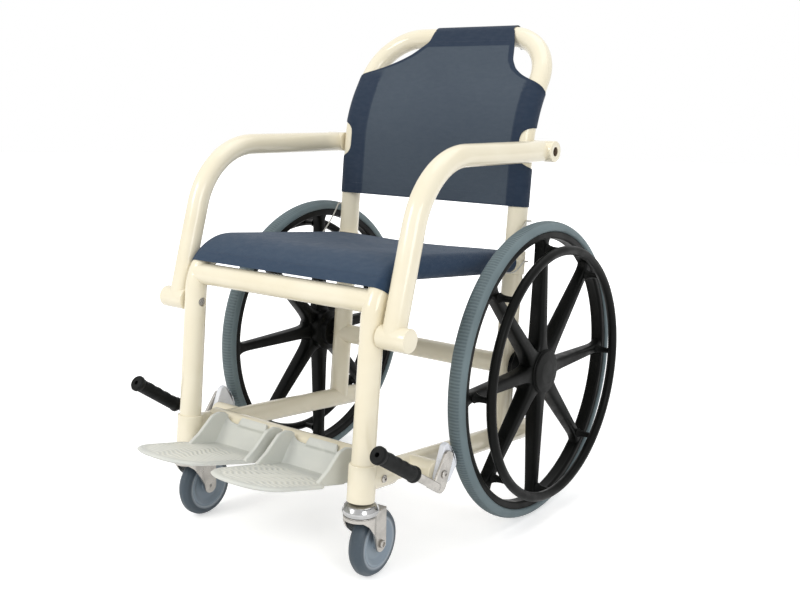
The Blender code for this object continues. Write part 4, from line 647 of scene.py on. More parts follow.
CASTER_HUB = Moulded("caster_hub", colour=linear(124, 137, 150), drift=linear(134, 147, 158),
                     rough=(0.34, 0.46), grain=900.0, grain_depth=0.00004, scuff=linear(150, 160, 168),
                     scuff_share=0.25)
# its masked colour is a pale painted highlight on the tread's ridge tops
FOOT = Moulded("foot_casting", colour=linear(207, 208, 200), drift=linear(199, 201, 195), rough=(0.40, 0.56),
               grain=700.0, grain_depth=0.00008, scuff=linear(222, 222, 216), scuff_share=0.30,
               scuff_stretch=(1.0, 1.0, 1.0), mark_or_painted_light=linear(236, 234, 222), mark_or_painted_light_share=0.7)
GRIP = Moulded("grip_rubber", colour=linear(7, 9, 9), drift=linear(11, 13, 13), rough=(0.46, 0.62),
               grain=1500.0, grain_depth=0.00012, scuff=linear(40, 44, 46), scuff_share=0.25, specular=0.15)
SHOE = Moulded("shoe_plastic", colour=linear(231, 233, 238), drift=linear(221, 224, 231), rough=(0.34, 0.46),
               grain=800.0, grain_depth=0.00004, scuff=linear(178, 180, 184), scuff_share=0.4)
SEAT_CLOTH = Weave("seat_weave", colour=linear(55, 73, 94), lit=linear(61, 79, 100), hem=linear(30, 50, 73))
BACK_CLOTH = Weave("back_weave", colour=linear(68, 79, 92), lit=linear(75, 86, 98), hem=linear(22, 39, 60))
# the darker colour of each braid is painted shade in its dips
THREAD = Braid("stitching", colour=linear(58, 72, 92), dip_shade=linear(30, 40, 56))
CORD = Braid("cord", colour=linear(214, 212, 204), dip_shade=linear(150, 148, 140))


def put(item: bpy.types.Object, body: str, slot: str, *nodes: str) -> bpy.types.Object:
    """Let a piece ride on a body, and hide the CAD nodes that it stands for."""
    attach(item, body)
    if nodes:
        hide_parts(*nodes)
    LOG.info("%s rides on %s, %d faces", item.name, body, len(item.data.polygons))
    return item


def show(shell: Shell, node: str, finish: Finish, body: str, slot: str,
         crease: float = CREASE) -> bpy.types.Object:
    """Build a shell as the look of one CAD node."""
    return put(shell.build(node + "_look", finish, crease), body, slot, node)


def drill(item: bpy.types.Object, cutter: bpy.types.Object) -> None:
    """Cut one closed piece out of another, and keep the result as the first one's mesh."""
    cut = item.modifiers.new("recess", "BOOLEAN")
    cut.operation, cut.solver, cut.object = "DIFFERENCE", "EXACT", cutter
    bpy.context.view_layer.update()
    mesh = bpy.data.meshes.new_from_object(item.evaluated_get(bpy.context.evaluated_depsgraph_get()))
    item.modifiers.clear()
    item.data = mesh
    bpy.data.objects.remove(cutter)
    mesh.polygons.foreach_set("material_index", [0] * len(mesh.polygons))
    mesh.materials.clear()
    mesh.materials.append(PIPE.material())
    mesh.set_sharp_from_angle(angle=CREASE)


# ---- the chair


@dataclass(frozen=True)
class Layout:
    """Driving sizes, the same as the CAD's, and the frame's own coordinates."""

    lean: float = math.radians(4.9)
    tube: float = 0.0211
    fitting: float = 0.0252
    post_x: float = 0.222
    wheel_radius: float = 0.305
    front_u: float = -0.460
    seat_w: float = 0.215
    seat_bend: float = 0.090
    rail_w: float = -0.152944
    fitting_bottom_w: float = -0.192944
    fitting_top_w: float = -0.125944
    back_start_w: float = 0.440
    back_angle: float = math.radians(27.0)
    back_radius: float = 0.260
    hoop_straight: float = 0.034
    hoop_corner: float = 0.108
    arm_stub_w: float = 0.103
    arm_height: float = 0.746
    arm_x: float = 0.2685
    brake_u: float = -0.325564
    rail_bolt_u: float = -0.430
    foot_tube: tuple[float, float] = (-0.405, 0.1966)

    @property
    def axle(self) -> np.ndarray:
        """Middle of the rear axle, as the CAD has it."""
        low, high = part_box("rear_axle")
        return (np.array(low) + np.array(high)) / 2.0

    def point(self, place: Sequence[float] | np.ndarray) -> np.ndarray:
        """World points of x, u and w: u and w turned by the lean and counted from the axle."""
        place = np.asarray(place, float)
        x, u, w = place[..., 0], place[..., 1], place[..., 2]
        axle = self.axle
        return np.stack([x, axle[1] + u * math.cos(self.lean) + w * math.sin(self.lean),
                         axle[2] - u * math.sin(self.lean) + w * math.cos(self.lean)], axis=-1)

    @property
    def hoop_corners(self) -> list[tuple[float, float, float]]:
        """Corners of the back hoop in x, u and w, from the left foot to the right foot."""
        corner_w = self.back_start_w + self.back_radius * math.tan(self.back_angle / 2.0)
        rise = corner_w - self.back_start_w + self.hoop_straight + self.hoop_corner
        top = (rise * math.sin(self.back_angle), corner_w + rise * math.cos(self.back_angle))
        left = [(self.post_x, 0.0, self.rail_w), (self.post_x, 0.0, corner_w), (self.post_x, *top)]
        return left + [(-x, u, w) for x, u, w in reversed(left)]

    @property
    def arm_crossing(self) -> np.ndarray:
        """Point in the middle plane where the rear posts reach the height of the arms."""
        return self.point((0.0, 0.0, (self.arm_height - self.axle[2]) / math.cos(self.lean)))

    @property
    def arm_pivot(self) -> np.ndarray:
        """Point in the middle plane on the armrests' pivot axis."""
        return self.point((0.0, self.front_u, self.arm_stub_w))

    @property
    def brake_pivot(self) -> np.ndarray:
        """Point in the middle plane on the brakes' pivot axis."""
        return self.point((0.0, self.brake_u, self.rail_w))

    @property
    def foot_axis(self) -> np.ndarray:
        """Point in the middle plane on the footrests' tube: back from the axle, and height."""
        return np.array([0.0, self.axle[1] + self.foot_tube[0], self.foot_tube[1]])

    def between(self, start: Sequence[float], end: Sequence[float]) -> np.ndarray:
        """Points in equal steps between two places, each given in x, u and w."""
        return straight(self.point(start), self.point(end))

    @property
    def swivel(self) -> np.ndarray:
        """Point in the middle plane under the caster stems' axes."""
        return self.point((0.0, self.front_u, self.fitting_bottom_w))


@dataclass
class TubeFrame:
    """The frame of plastic pipe and fittings."""

    layout: Layout
    crossbar_angle: float = math.radians(21.5)
    lower_start_u: float = -0.4362
    lower_end_u: float = 0.115
    branch: float = 0.076
    post_sunk: float = 0.01
    brake_stub_end: float = 0.285
    collar: tuple[float, float, float] = (0.190, 0.237, 0.0236)
    recess: tuple[float, float, float] = (0.1950, 0.2092, 0.0090)

    def build(self) -> None:
        """Build every tube of the frame."""
        self.hoop()
        self.cross_tubes()
        for tag, side in SIDES:
            self.post_rail(tag, side)
            self.fitting(tag, side)
            self.lower_rail(tag, side)
            self.brake_stub(tag, side)
            self.seat_collar(tag, side)

    def add(self, name: str, *grids: np.ndarray, node: bool = True, recess: np.ndarray | None = None) -> None:
        """Gather tube grids into one piece of the frame, and cut a recess out of it."""
        shell = Shell()
        for grid in grids:
            shell.add(grid)
        item = shell.build(name, PIPE)
        if recess is not None:
            drill(item, Shell().add(recess).build("recess", PIPE))
        put(item, "frame", "frame_plastic", *([name.removesuffix("_look")] if node else []))

    def hoop(self) -> None:
        """Rear posts and back hoop: one tube bent at four places."""
        lay = self.layout
        radii = [lay.back_radius, lay.hoop_corner, lay.hoop_corner, lay.back_radius]
        line = lay.point(rounded_line(lay.hoop_corners, radii, BEND_STEP))
        self.add("back_hoop_look", pipe(line, lay.tube, (0.0, 1.0, 0.0), sides=TUBE_SIDES))

    def post_rail(self, tag: str, side: float) -> None:
        """Front post that bends back into its seat rail."""
        lay = self.layout
        x = lay.post_x * side
        corners = [(x, lay.front_u, lay.fitting_top_w - self.post_sunk), (x, lay.front_u, lay.seat_w),
                   (x, 0.0, lay.seat_w)]
        line = lay.point(rounded_line(corners, [lay.seat_bend], BEND_STEP))
        low, high, radius = self.recess
        bore = pipe(outward(lay.arm_pivot, side, low, high), radius, Z_AXIS, sides=32)
        self.add(f"front_post_rail_{tag}_look", pipe(line, lay.tube, X_AXIS, sides=TUBE_SIDES), recess=bore)

    def cross_tubes(self) -> None:
        """The three tubes across the chair."""
        lay = self.layout
        u = lay.front_u + lay.seat_bend * (1.0 - math.cos(self.crossbar_angle))
        w = lay.seat_w - lay.seat_bend * (1.0 - math.sin(self.crossbar_angle))
        middles = {"seat_crossbar": lay.point((0.0, u, w)), "rear_cross_tube": lay.axle,
                   "footrest_tube": lay.foot_axis}
        for name, middle in middles.items():
            line = outward(middle, 1.0, -lay.post_x, lay.post_x)
            self.add(name + "_look", pipe(line, lay.tube, Z_AXIS))

    def fitting(self, tag: str, side: float) -> None:
        """Front tee fitting: an upright sleeve and its branch."""
        lay = self.layout
        x = lay.post_x * side
        sleeve = lay.between((x, lay.front_u, lay.fitting_bottom_w), (x, lay.front_u, lay.fitting_top_w))
        branch = lay.between((x, lay.front_u, lay.rail_w), (x, lay.front_u + self.branch, lay.rail_w))
        self.add(f"front_fitting_{tag}_look",
                 pipe(sleeve, lay.fitting, X_AXIS, TubeEnd.FLAT, TubeEnd.FLAT),
                 pipe(branch, lay.fitting, X_AXIS, TubeEnd.BURIED, TubeEnd.FLAT))

    def lower_rail(self, tag: str, side: float) -> None:
        """Lower side rail with its domed plug at the back."""
        lay = self.layout
        x = lay.post_x * side
        line = lay.between((x, self.lower_start_u, lay.rail_w), (x, self.lower_end_u, lay.rail_w))
        self.add(f"lower_rail_{tag}_look", pipe(line, lay.tube, X_AXIS, end=TubeEnd.DOMED))

    def brake_stub(self, tag: str, side: float) -> None:
        """Stub out of the lower rail, which holds the brake."""
        lay = self.layout
        line = outward(lay.brake_pivot, side, lay.post_x, self.brake_stub_end)
        self.add(f"brake_stub_{tag}_look", pipe(line, lay.tube, Z_AXIS, end=TubeEnd.FLAT))

    def seat_collar(self, tag: str, side: float) -> None:
        """Collar of the tee that ties the seat rail to the rear post."""
        lay = self.layout
        low, high, radius = self.collar
        line = lay.between((lay.post_x * side, 0.0, low), (lay.post_x * side, 0.0, high))
        grid = pipe(line, radius, X_AXIS, TubeEnd.FLAT, TubeEnd.FLAT)
        self.add(f"seat_collar_{tag}", grid, node=False)


@dataclass
class Armrests:
    """Flip-up armrests: front stub, bent tube and rear stub."""

    layout: Layout
    stub_end: float = 0.305
    leg_lean: float = math.radians(16.1)
    bend: float = 0.160
    rear_stub: tuple[float, float] = (0.2474, 0.2976)
    bore_shade_rings: int = 3

    def build(self) -> None:
        """Build both armrests."""
        lay = self.layout
        pivot = lay.arm_pivot
        end = np.array([0.0, lay.arm_crossing[1], lay.arm_height])
        for tag, side in SIDES:
            out = np.array([side, 0.0, 0.0])
            foot = pivot + out * lay.arm_x
            rise = lay.arm_height - foot[2]
            corner = np.array([foot[0], foot[1] + rise * math.tan(self.leg_lean), lay.arm_height])
            arm = rounded_line([foot, corner, end + out * lay.arm_x], [self.bend], BEND_STEP)
            front = outward(pivot, side, lay.post_x + lay.tube + GAP, self.stub_end)
            rear = outward(end, side, *self.rear_stub)
            grids = {"stub": pipe(front, lay.tube, Z_AXIS, TubeEnd.FLAT, TubeEnd.FLAT, TUBE_SIDES),
                     "tube": pipe(arm, lay.tube, X_AXIS, sides=TUBE_SIDES),
                     "rear_stub": pipe(rear, lay.tube, Z_AXIS, TubeEnd.FLAT, TubeEnd.BORED, TUBE_SIDES)}
            for name, grid in grids.items():
                # the last rings of the rear stub's bore take the pipe's masked colour: painted shade inside
                # the bore
                mask = np.zeros(grid.shape[:2])
                mask[-self.bore_shade_rings:] = name == "rear_stub"
                show(Shell().add(grid, hem=mask), f"armrest_{name}_{tag}", PIPE, f"armrest_{tag}",
                     "frame_plastic")


@dataclass
class RearWheels:
    """Push wheels: grey tyre, moulded wheel, handrim and hub cap."""

    layout: Layout
    tyre_x: float = 0.296
    tyre_half: float = 0.018
    tyre_depth: float = 0.020
    crown_depth: float = 0.0165
    crown_points: int = 31
    crown_power: float = 2.25
    wall_shares: tuple[float, float] = (0.94, 0.80)
    ribs: int = 300
    rib_points: int = 4
    rib_depth: float = 0.0011
    tread: tuple[float, float, float, float] = (0.86, 1.02, 2.30, 2.50)
    rim_outer: float = 0.2847
    rim_inner: float = 0.269
    rim_half: float = 0.014
    channel_depth: float = 0.0015
    channel_share: float = 0.4
    hub: tuple[float, float, float] = (0.046, 0.2465, 0.318)
    bore: float = 0.0068
    shoulder: tuple[float, float] = (0.016, 0.012)
    neck: float = 0.033
    cap: tuple[float, float] = (0.0445, 0.0065)
    handrim: tuple[float, float, float] = (0.345, 0.2505, 0.0095)
    lug: tuple[tuple[float, float], ...] = ((0.0105, 0.0), (0.0084, 0.004), (0.0066, 0.011), (0.0060, 0.020))
    spokes: int = 8
    spoke_start: float = 0.036
    spoke_sunk: float = 0.006
    spoke_sides: int = 40
    spoke_power: float = 3.4
    half_width: tuple[float, float] = (0.0145, 0.0055)
    half_depth: tuple[float, float] = (0.0188, 0.0064)
    hub_flare: tuple[float, float, float] = (0.007, 0.010, 1.4)
    rim_flare: tuple[float, float, float] = (0.008, 0.008, 1.5)

    def build(self) -> None:
        """Build both wheels."""
        for tag, side in SIDES:
            body = f"wheel_{tag}"
            show(Shell().add(*self.tyre(side)), f"rear_tyre_{tag}", TYRE, body, "tyre_grey")
            wheel = Shell().add(self.rim(side), wrap_rows=True).add(self.hub_body(side), wrap_rows=True)
            for spoke in self.spoke_set(side):
                wheel.add(spoke)
            ring = Shell().add(self.ring(side), wrap_rows=True)
            for lug in self.lugs(side):
                ring.add(lug)
            cap = Shell().add(self.hub_cap(side))
            for name, shell in (("rear_wheel", wheel), ("handrim", ring), ("hub_cap", cap)):
                show(shell, f"{name}_{tag}", BLACK, body, "wheel_black")

    @property
    def centre(self) -> np.ndarray:
        """Point in the middle plane on the wheels' axis."""
        return np.array([0.0, *self.layout.axle[1:]])

    def about(self, profile: np.ndarray, side: float, sides: int) -> np.ndarray:
        """A profile of radius and distance outboard, turned about the axle."""
        return turned(profile, self.centre, (side, 0.0, 0.0), sides)

    def tyre(self, side: float) -> tuple[np.ndarray, bool, bool, np.ndarray]:
        """Tyre: a superelliptic crown over two straight walls, ribbed across its tread.

        The crown's radius is its base plus its depth times the sine, to a power, of an angle
        that runs from the outer to the inner wall. Cross grooves cut into it as the square of a
        sine of the turn, only where that angle lies over the tread.

        Returns:
            The grid, whether its rows and columns wrap, and its grooves as a mask, where the tyre's finish
            paints shade.
        """
        angle = np.linspace(0.0, math.pi, self.crown_points)
        power = 2.0 / self.crown_power
        base = self.layout.wheel_radius - self.crown_depth
        across = signed_power(np.cos(angle), power) * self.tyre_half
        height = base + np.sin(angle) ** power * self.crown_depth
        bead = self.layout.wheel_radius - self.tyre_depth
        wide, narrow = (share * self.tyre_half for share in self.wall_shares)
        middle = 0.5 * (bead + base)
        lower = [(middle, -wide), (bead, -narrow), (bead, narrow), (middle, wide)]
        profile = np.concatenate([np.stack([height, across], 1), lower]) + (0.0, self.tyre_x)
        sides = self.ribs * self.rib_points
        grid = self.about(profile, side, sides)
        start, full, fade, end = self.tread
        cut = np.zeros(len(profile))
        cut[:self.crown_points] = smooth_step(angle, start, full) * (1.0 - smooth_step(angle, fade, end))
        wave = np.sin(np.arange(sides) * math.pi / self.rib_points) ** 2
        spread = (grid - self.centre) * (0.0, 1.0, 1.0)
        # the groove mask also carries painted shade into the grooves
        grooves = cut[:, None] * wave
        return grid - unit(spread) * (grooves * self.rib_depth)[..., None], True, True, grooves

    def rim(self, side: float) -> np.ndarray:
        """Rim: a box section with rounded inner edges and a shallow channel at its middle."""
        low, high, half = self.rim_inner, self.rim_outer, self.rim_half
        floor, flat = low + self.channel_depth, self.channel_share * half
        corners = [(high, half), (high, -half), (low, -half), (floor, -flat), (floor, flat), (low, half)]
        profile = rounded_ring(corners, [0.0012, 0.0012, 0.0048, 0.004, 0.004, 0.0048], math.radians(12.0))
        return self.about(profile + (0.0, self.tyre_x), side, 192)

    def hub_body(self, side: float) -> np.ndarray:
        """Hub: a drum with a shoulder and a narrower neck towards the frame."""
        radius, inner, outer = self.hub
        drum, neck = (inner + reach for reach in self.shoulder)
        corners = [(self.bore, outer), (radius, outer), (radius, drum), (self.neck, neck), (self.neck, inner),
                   (self.bore, inner)]
        profile = rounded_ring(corners, [0.0008, 0.004, 0.003, 0.003, 0.002, 0.0008], math.radians(12.0))
        return self.about(profile, side, 96)

    def hub_cap(self, side: float) -> np.ndarray:
        """Hub cap: a low dome over the hub's outer face."""
        radius, depth = self.cap
        seat = self.hub[2] + GAP
        corners = [(0.0, seat), (radius, seat), (0.97 * radius, seat + 0.40 * depth),
                   (0.55 * radius, seat + 0.92 * depth), (0.0, seat + depth)]
        return self.about(rounded_line(corners, [0.0005, 0.0030, 0.020]), side, 96)

    def spoke_set(self, side: float) -> list[np.ndarray]:
        """Eight tapered spokes of superelliptic section, flared into the hub and the rim.

        The half width is a straight taper plus two exponential flares at the ends.
        """
        run = np.linspace(self.spoke_start, self.rim_inner + self.spoke_sunk, 44)
        share = (run - run[0]) / (run[-1] - run[0])
        wide, taper = self.half_width
        rise, length, most = self.hub_flare
        at_hub = rise * np.exp(-(run - self.hub[0]) / length).clip(0.0, most)
        rise, length, most = self.rim_flare
        at_rim = rise * np.exp((run - self.rim_inner) / length).clip(0.0, most)
        width = wide - taper * share + at_hub + at_rim
        line = np.stack([np.full_like(run, side * self.tyre_x), run, np.zeros_like(run)], 1)
        section = superellipse(self.spoke_depth(run), width, self.spoke_power, self.spoke_sides)
        bar = capped(swept(line, section, X_AXIS))
        turns = 2.0 * math.pi * np.arange(self.spokes) / self.spokes
        return [tipped(bar, np.zeros(3), float(turn)) + self.centre for turn in turns]

    def spoke_depth(self, run: np.ndarray | float) -> np.ndarray | float:
        """Half depth of a spoke along the axle at a radius, tapering evenly from hub to rim."""
        deep, taper = self.half_depth
        share = (run - self.spoke_start) / (self.rim_inner + self.spoke_sunk - self.spoke_start)
        return deep - taper * share

    def ring(self, side: float) -> np.ndarray:
        """Handrim: a circle turned about the axle."""
        x, radius, tube = self.handrim
        return self.about(circle(28) * tube + (radius, x), side, 192)

    def lugs(self, side: float) -> list[np.ndarray]:
        """Flared lugs that hold the handrim off the spokes' ends."""
        x, radius, _ = self.handrim
        start = self.tyre_x + self.spoke_depth(radius - self.lug[0][0]) + GAP
        profile = [(0.0, start), *((half, start + rise) for half, rise in self.lug), (self.lug[-1][0], x),
                   (0.0, x)]
        _, y, z = self.centre
        found = []
        for k in range(self.spokes):
            angle = 2.0 * math.pi * k / self.spokes
            centre = (0.0, y + radius * math.cos(angle), z + radius * math.sin(angle))
            found.append(turned(profile, centre, (side, 0.0, 0.0), 24))
        return found


@dataclass
class Casters:
    """Swivel casters: chrome bearing cap, bent fork, wheel and axle bolt."""

    layout: Layout
    yaws: tuple[float, float] = (math.radians(4.0), math.radians(1.0))
    radius: float = 0.0625
    half: float = 0.0143
    trail: float = 0.0387
    hub: float = 0.044
    web: float = 0.007
    pale_ring: tuple[float, float] = (0.0052, 0.0058)
    fork_top: float = 0.1288
    fork_crease: float = math.radians(28.0)
    fork_gap: float = 0.002
    sheet: float = 0.003
    sheet_bevel: float = 0.0009
    fold_start: float = 0.0006
    fold_rows: int = 24
    arm_half: float = 0.0150
    fold: float = 0.022
    fold_z: float = 0.071
    skirt: float = 0.0070
    slant: tuple[tuple[float, float], ...] = ((-0.72, 1.0), (-0.42, 2.1), (-0.10, 4.2))
    plate: float = 0.031
    stem: tuple[float, float] = (0.008, 0.048)
    cap: tuple[float, float] = (0.033, 0.0205)
    cap_bore: float = 0.0086

    def build(self) -> None:
        """Build both casters."""
        swivel = self.layout.swivel
        for (tag, side), yaw in zip(SIDES, self.yaws):
            turn = np.array(Matrix.Rotation(yaw, 3, "Z"))
            shift = np.array([side * self.layout.post_x, swivel[1], 0.0])

            def world(points: np.ndarray) -> np.ndarray:
                """Local points of the caster turned by its yaw and moved under its stem."""
                return points @ turn.T + shift

            body, wheel = f"caster_{tag}", f"caster_wheel_{tag}"
            cap = Shell().add(world(self.cap_grid()), wrap_rows=True)
            show(cap, f"caster_bearing_cap_{tag}", CHROME, body, "chrome")
            show(self.fork(world), f"caster_fork_{tag}", STAINLESS, body, "stainless", self.fork_crease)
            grid = self.tyre_grid()
            near = np.linalg.norm(grid[..., 1:] - self.axle[1:], axis=-1)
            ring = 1.0 - smooth_step(near, *(self.hub + edge for edge in self.pale_ring))
            tyre = Shell().add(world(grid), wrap_rows=True, hem=ring)
            show(tyre, f"caster_tyre_{tag}", CASTER_RUBBER, wheel, "caster_tyre")
            hub = Shell().add(world(self.hub_grid()), wrap_rows=True)
            show(hub, f"caster_hub_{tag}", CASTER_HUB, wheel, "caster_hub")
            bolt = Shell().add(world(self.bolt_grid(side)))
            show(bolt, f"caster_axle_bolt_{tag}", STAINLESS, body, "stainless")

    @property
    def axle(self) -> tuple[float, float, float]:
        """Caster axle in the caster's own coordinates."""
        return (0.0, self.trail, self.radius)

    @property
    def outer(self) -> float:
        """Distance from the middle of the wheel to the outer face of a fork arm."""
        return self.half + self.fork_gap + self.sheet

    def cap_grid(self) -> np.ndarray:
        """Domed bearing cap: a stepped profile with rounded shoulders."""
        radius, height = self.cap
        low = self.fork_top + GAP
        corners = [(self.cap_bore, low + height), (0.66 * radius, low + height),
                   (0.86 * radius, low + 0.86 * height), (radius, low + 0.48 * height),
                   (radius, low + 0.24 * height), (0.93 * radius, low + 0.20 * height), (0.93 * radius, low),
                   (self.cap_bore, low)]
        radii = [0.0004, 0.003, 0.006, 0.005, 0.0010, 0.0006, 0.0016, 0.0004]
        return turned(rounded_ring(corners, radii, math.radians(10.0)), (0.0, 0.0, 0.0), Z_AXIS, 72)

    def path(self) -> np.ndarray:
        """The fork's sheet seen from above: in from one arm, round the stem and back to the other."""
        turn = np.radians(np.linspace(0.0, 80.0, 24))[:, None]
        nose = self.plate * np.concatenate([np.sin(turn), -np.cos(turn)], axis=1)
        arm = rounded_line([(self.plate, -0.004), (self.plate, 0.0), (self.outer, self.fold),
                            (self.outer, self.trail + self.arm_half)], [0.006, 0.006], math.radians(6.0))
        half = np.concatenate([nose, arm[1:]])
        return spaced(np.concatenate([half[::-1] * (-1.0, 1.0), half[1:]]), 0.0012)

    def fork(self, world: Place) -> Shell:
        """Fork: a pressed top plate, whose edge folds down into a short skirt and two arms."""
        path = self.path()
        level = self.fork_top - self.sheet / 2.0
        shell = Shell().slab(path, self.sheet, self.sheet_bevel,
                             lambda p: world(np.stack([p[..., 0], p[..., 1], level + p[..., 2]], -1)))
        tangent = unit(np.gradient(path, axis=0))
        inward = np.stack([-tangent[:, 1], tangent[:, 0]], 1) * self.sheet
        on_arm = np.abs(path[:, 1] - self.trail) < self.arm_half
        inward[:, 0] = np.where(on_arm, -np.sign(path[:, 0]) * self.sheet, inward[:, 0])
        share = np.linspace(0.0, 1.0, self.fold_rows)[:, None]
        z = self.fork_top - self.fold_start - self.drop(path[:, 1]) * share
        outer, inner = (world(np.concatenate([np.broadcast_to(flat, (*z.shape, 2)), z[..., None]], -1))
                        for flat in (path, path + inward))
        shell.sheet(outer, inner)
        radius, rise = self.stem
        low, high = self.fork_top - 0.001, self.fork_top + rise
        stem = turned([(0.0, low), (radius, low), (radius, high), (0.0, high)], (0.0, 0.0, 0.0), Z_AXIS, 24)
        return shell.add(world(stem))

    def drop(self, y: np.ndarray) -> np.ndarray:
        """How far the folded edge reaches down at a distance behind the stem.

        A short skirt in front, a slanting line down to the eye, then a half circle round the
        axle. The slant's places are shares of the plate's radius, with drops counted in skirts.
        """
        top, eye = self.fork_top - self.fold_start, self.trail - self.arm_half
        round_eye = self.radius - np.sqrt(np.clip(self.arm_half ** 2 - (y - self.trail) ** 2, 0.0, None))
        places = [*(place * self.plate for place, _ in self.slant), self.fold, eye]
        heights = [*(top - drops * self.skirt for _, drops in self.slant), self.fold_z, self.radius]
        return top - np.where(y < eye, np.interp(y, places, heights), round_eye)

    def tyre_grid(self) -> np.ndarray:
        """Caster tyre: a rounded tread with a bevel towards each side."""
        half, low = self.half, self.hub + GAP
        wall, shoulder = low + 0.0055, self.radius - 0.0062
        corners = [(low, half), (wall, half), (shoulder, half * 0.94), (self.radius, half * 0.34)]
        corners += [(radius, -across) for radius, across in reversed(corners)]
        radii = [0.0006, 0.002, 0.005, 0.008, 0.008, 0.005, 0.002, 0.0006]
        return turned(rounded_ring(corners, radii, math.radians(8.0)), self.axle, X_AXIS, 120)

    def hub_grid(self) -> np.ndarray:
        """Caster hub: a dished web between a thin outer flange and a boss."""
        half, web, dish = self.half, self.web, self.hub - 0.004
        lip = half + 0.0004
        corners = [(0.0045, half), (0.0100, half), (0.0125, web), (dish - 0.010, web + 0.0012), (dish, lip),
                   (self.hub, lip)]
        radii = [0.0005, 0.001, 0.002, 0.008, 0.0012, 0.0006]
        corners = corners[-1:] + [(radius, -across) for radius, across in reversed(corners)] + corners[:-1]
        radii = radii[-1:] + radii[::-1] + radii[:-1]
        return turned(rounded_ring(corners, radii, math.radians(10.0)), self.axle, X_AXIS, 96)

    def bolt_grid(self, side: float) -> np.ndarray:
        """Axle bolt: a rounded head with a socket, and its shank."""
        head = self.outer + GAP
        corners = [(0.0, -self.outer), (0.0040, -self.outer), (0.0040, head), (0.0075, head),
                   (0.0075, head + 0.005), (0.0042, head + 0.005), (0.0038, head + 0.0022),
                   (0.0, head + 0.0022)]
        profile = rounded_line(corners, [0.0004, 0.0003, 0.0004, 0.0016, 0.0003, 0.0003], math.radians(20.0))
        return turned(profile, self.axle, (side, 0.0, 0.0), 36)


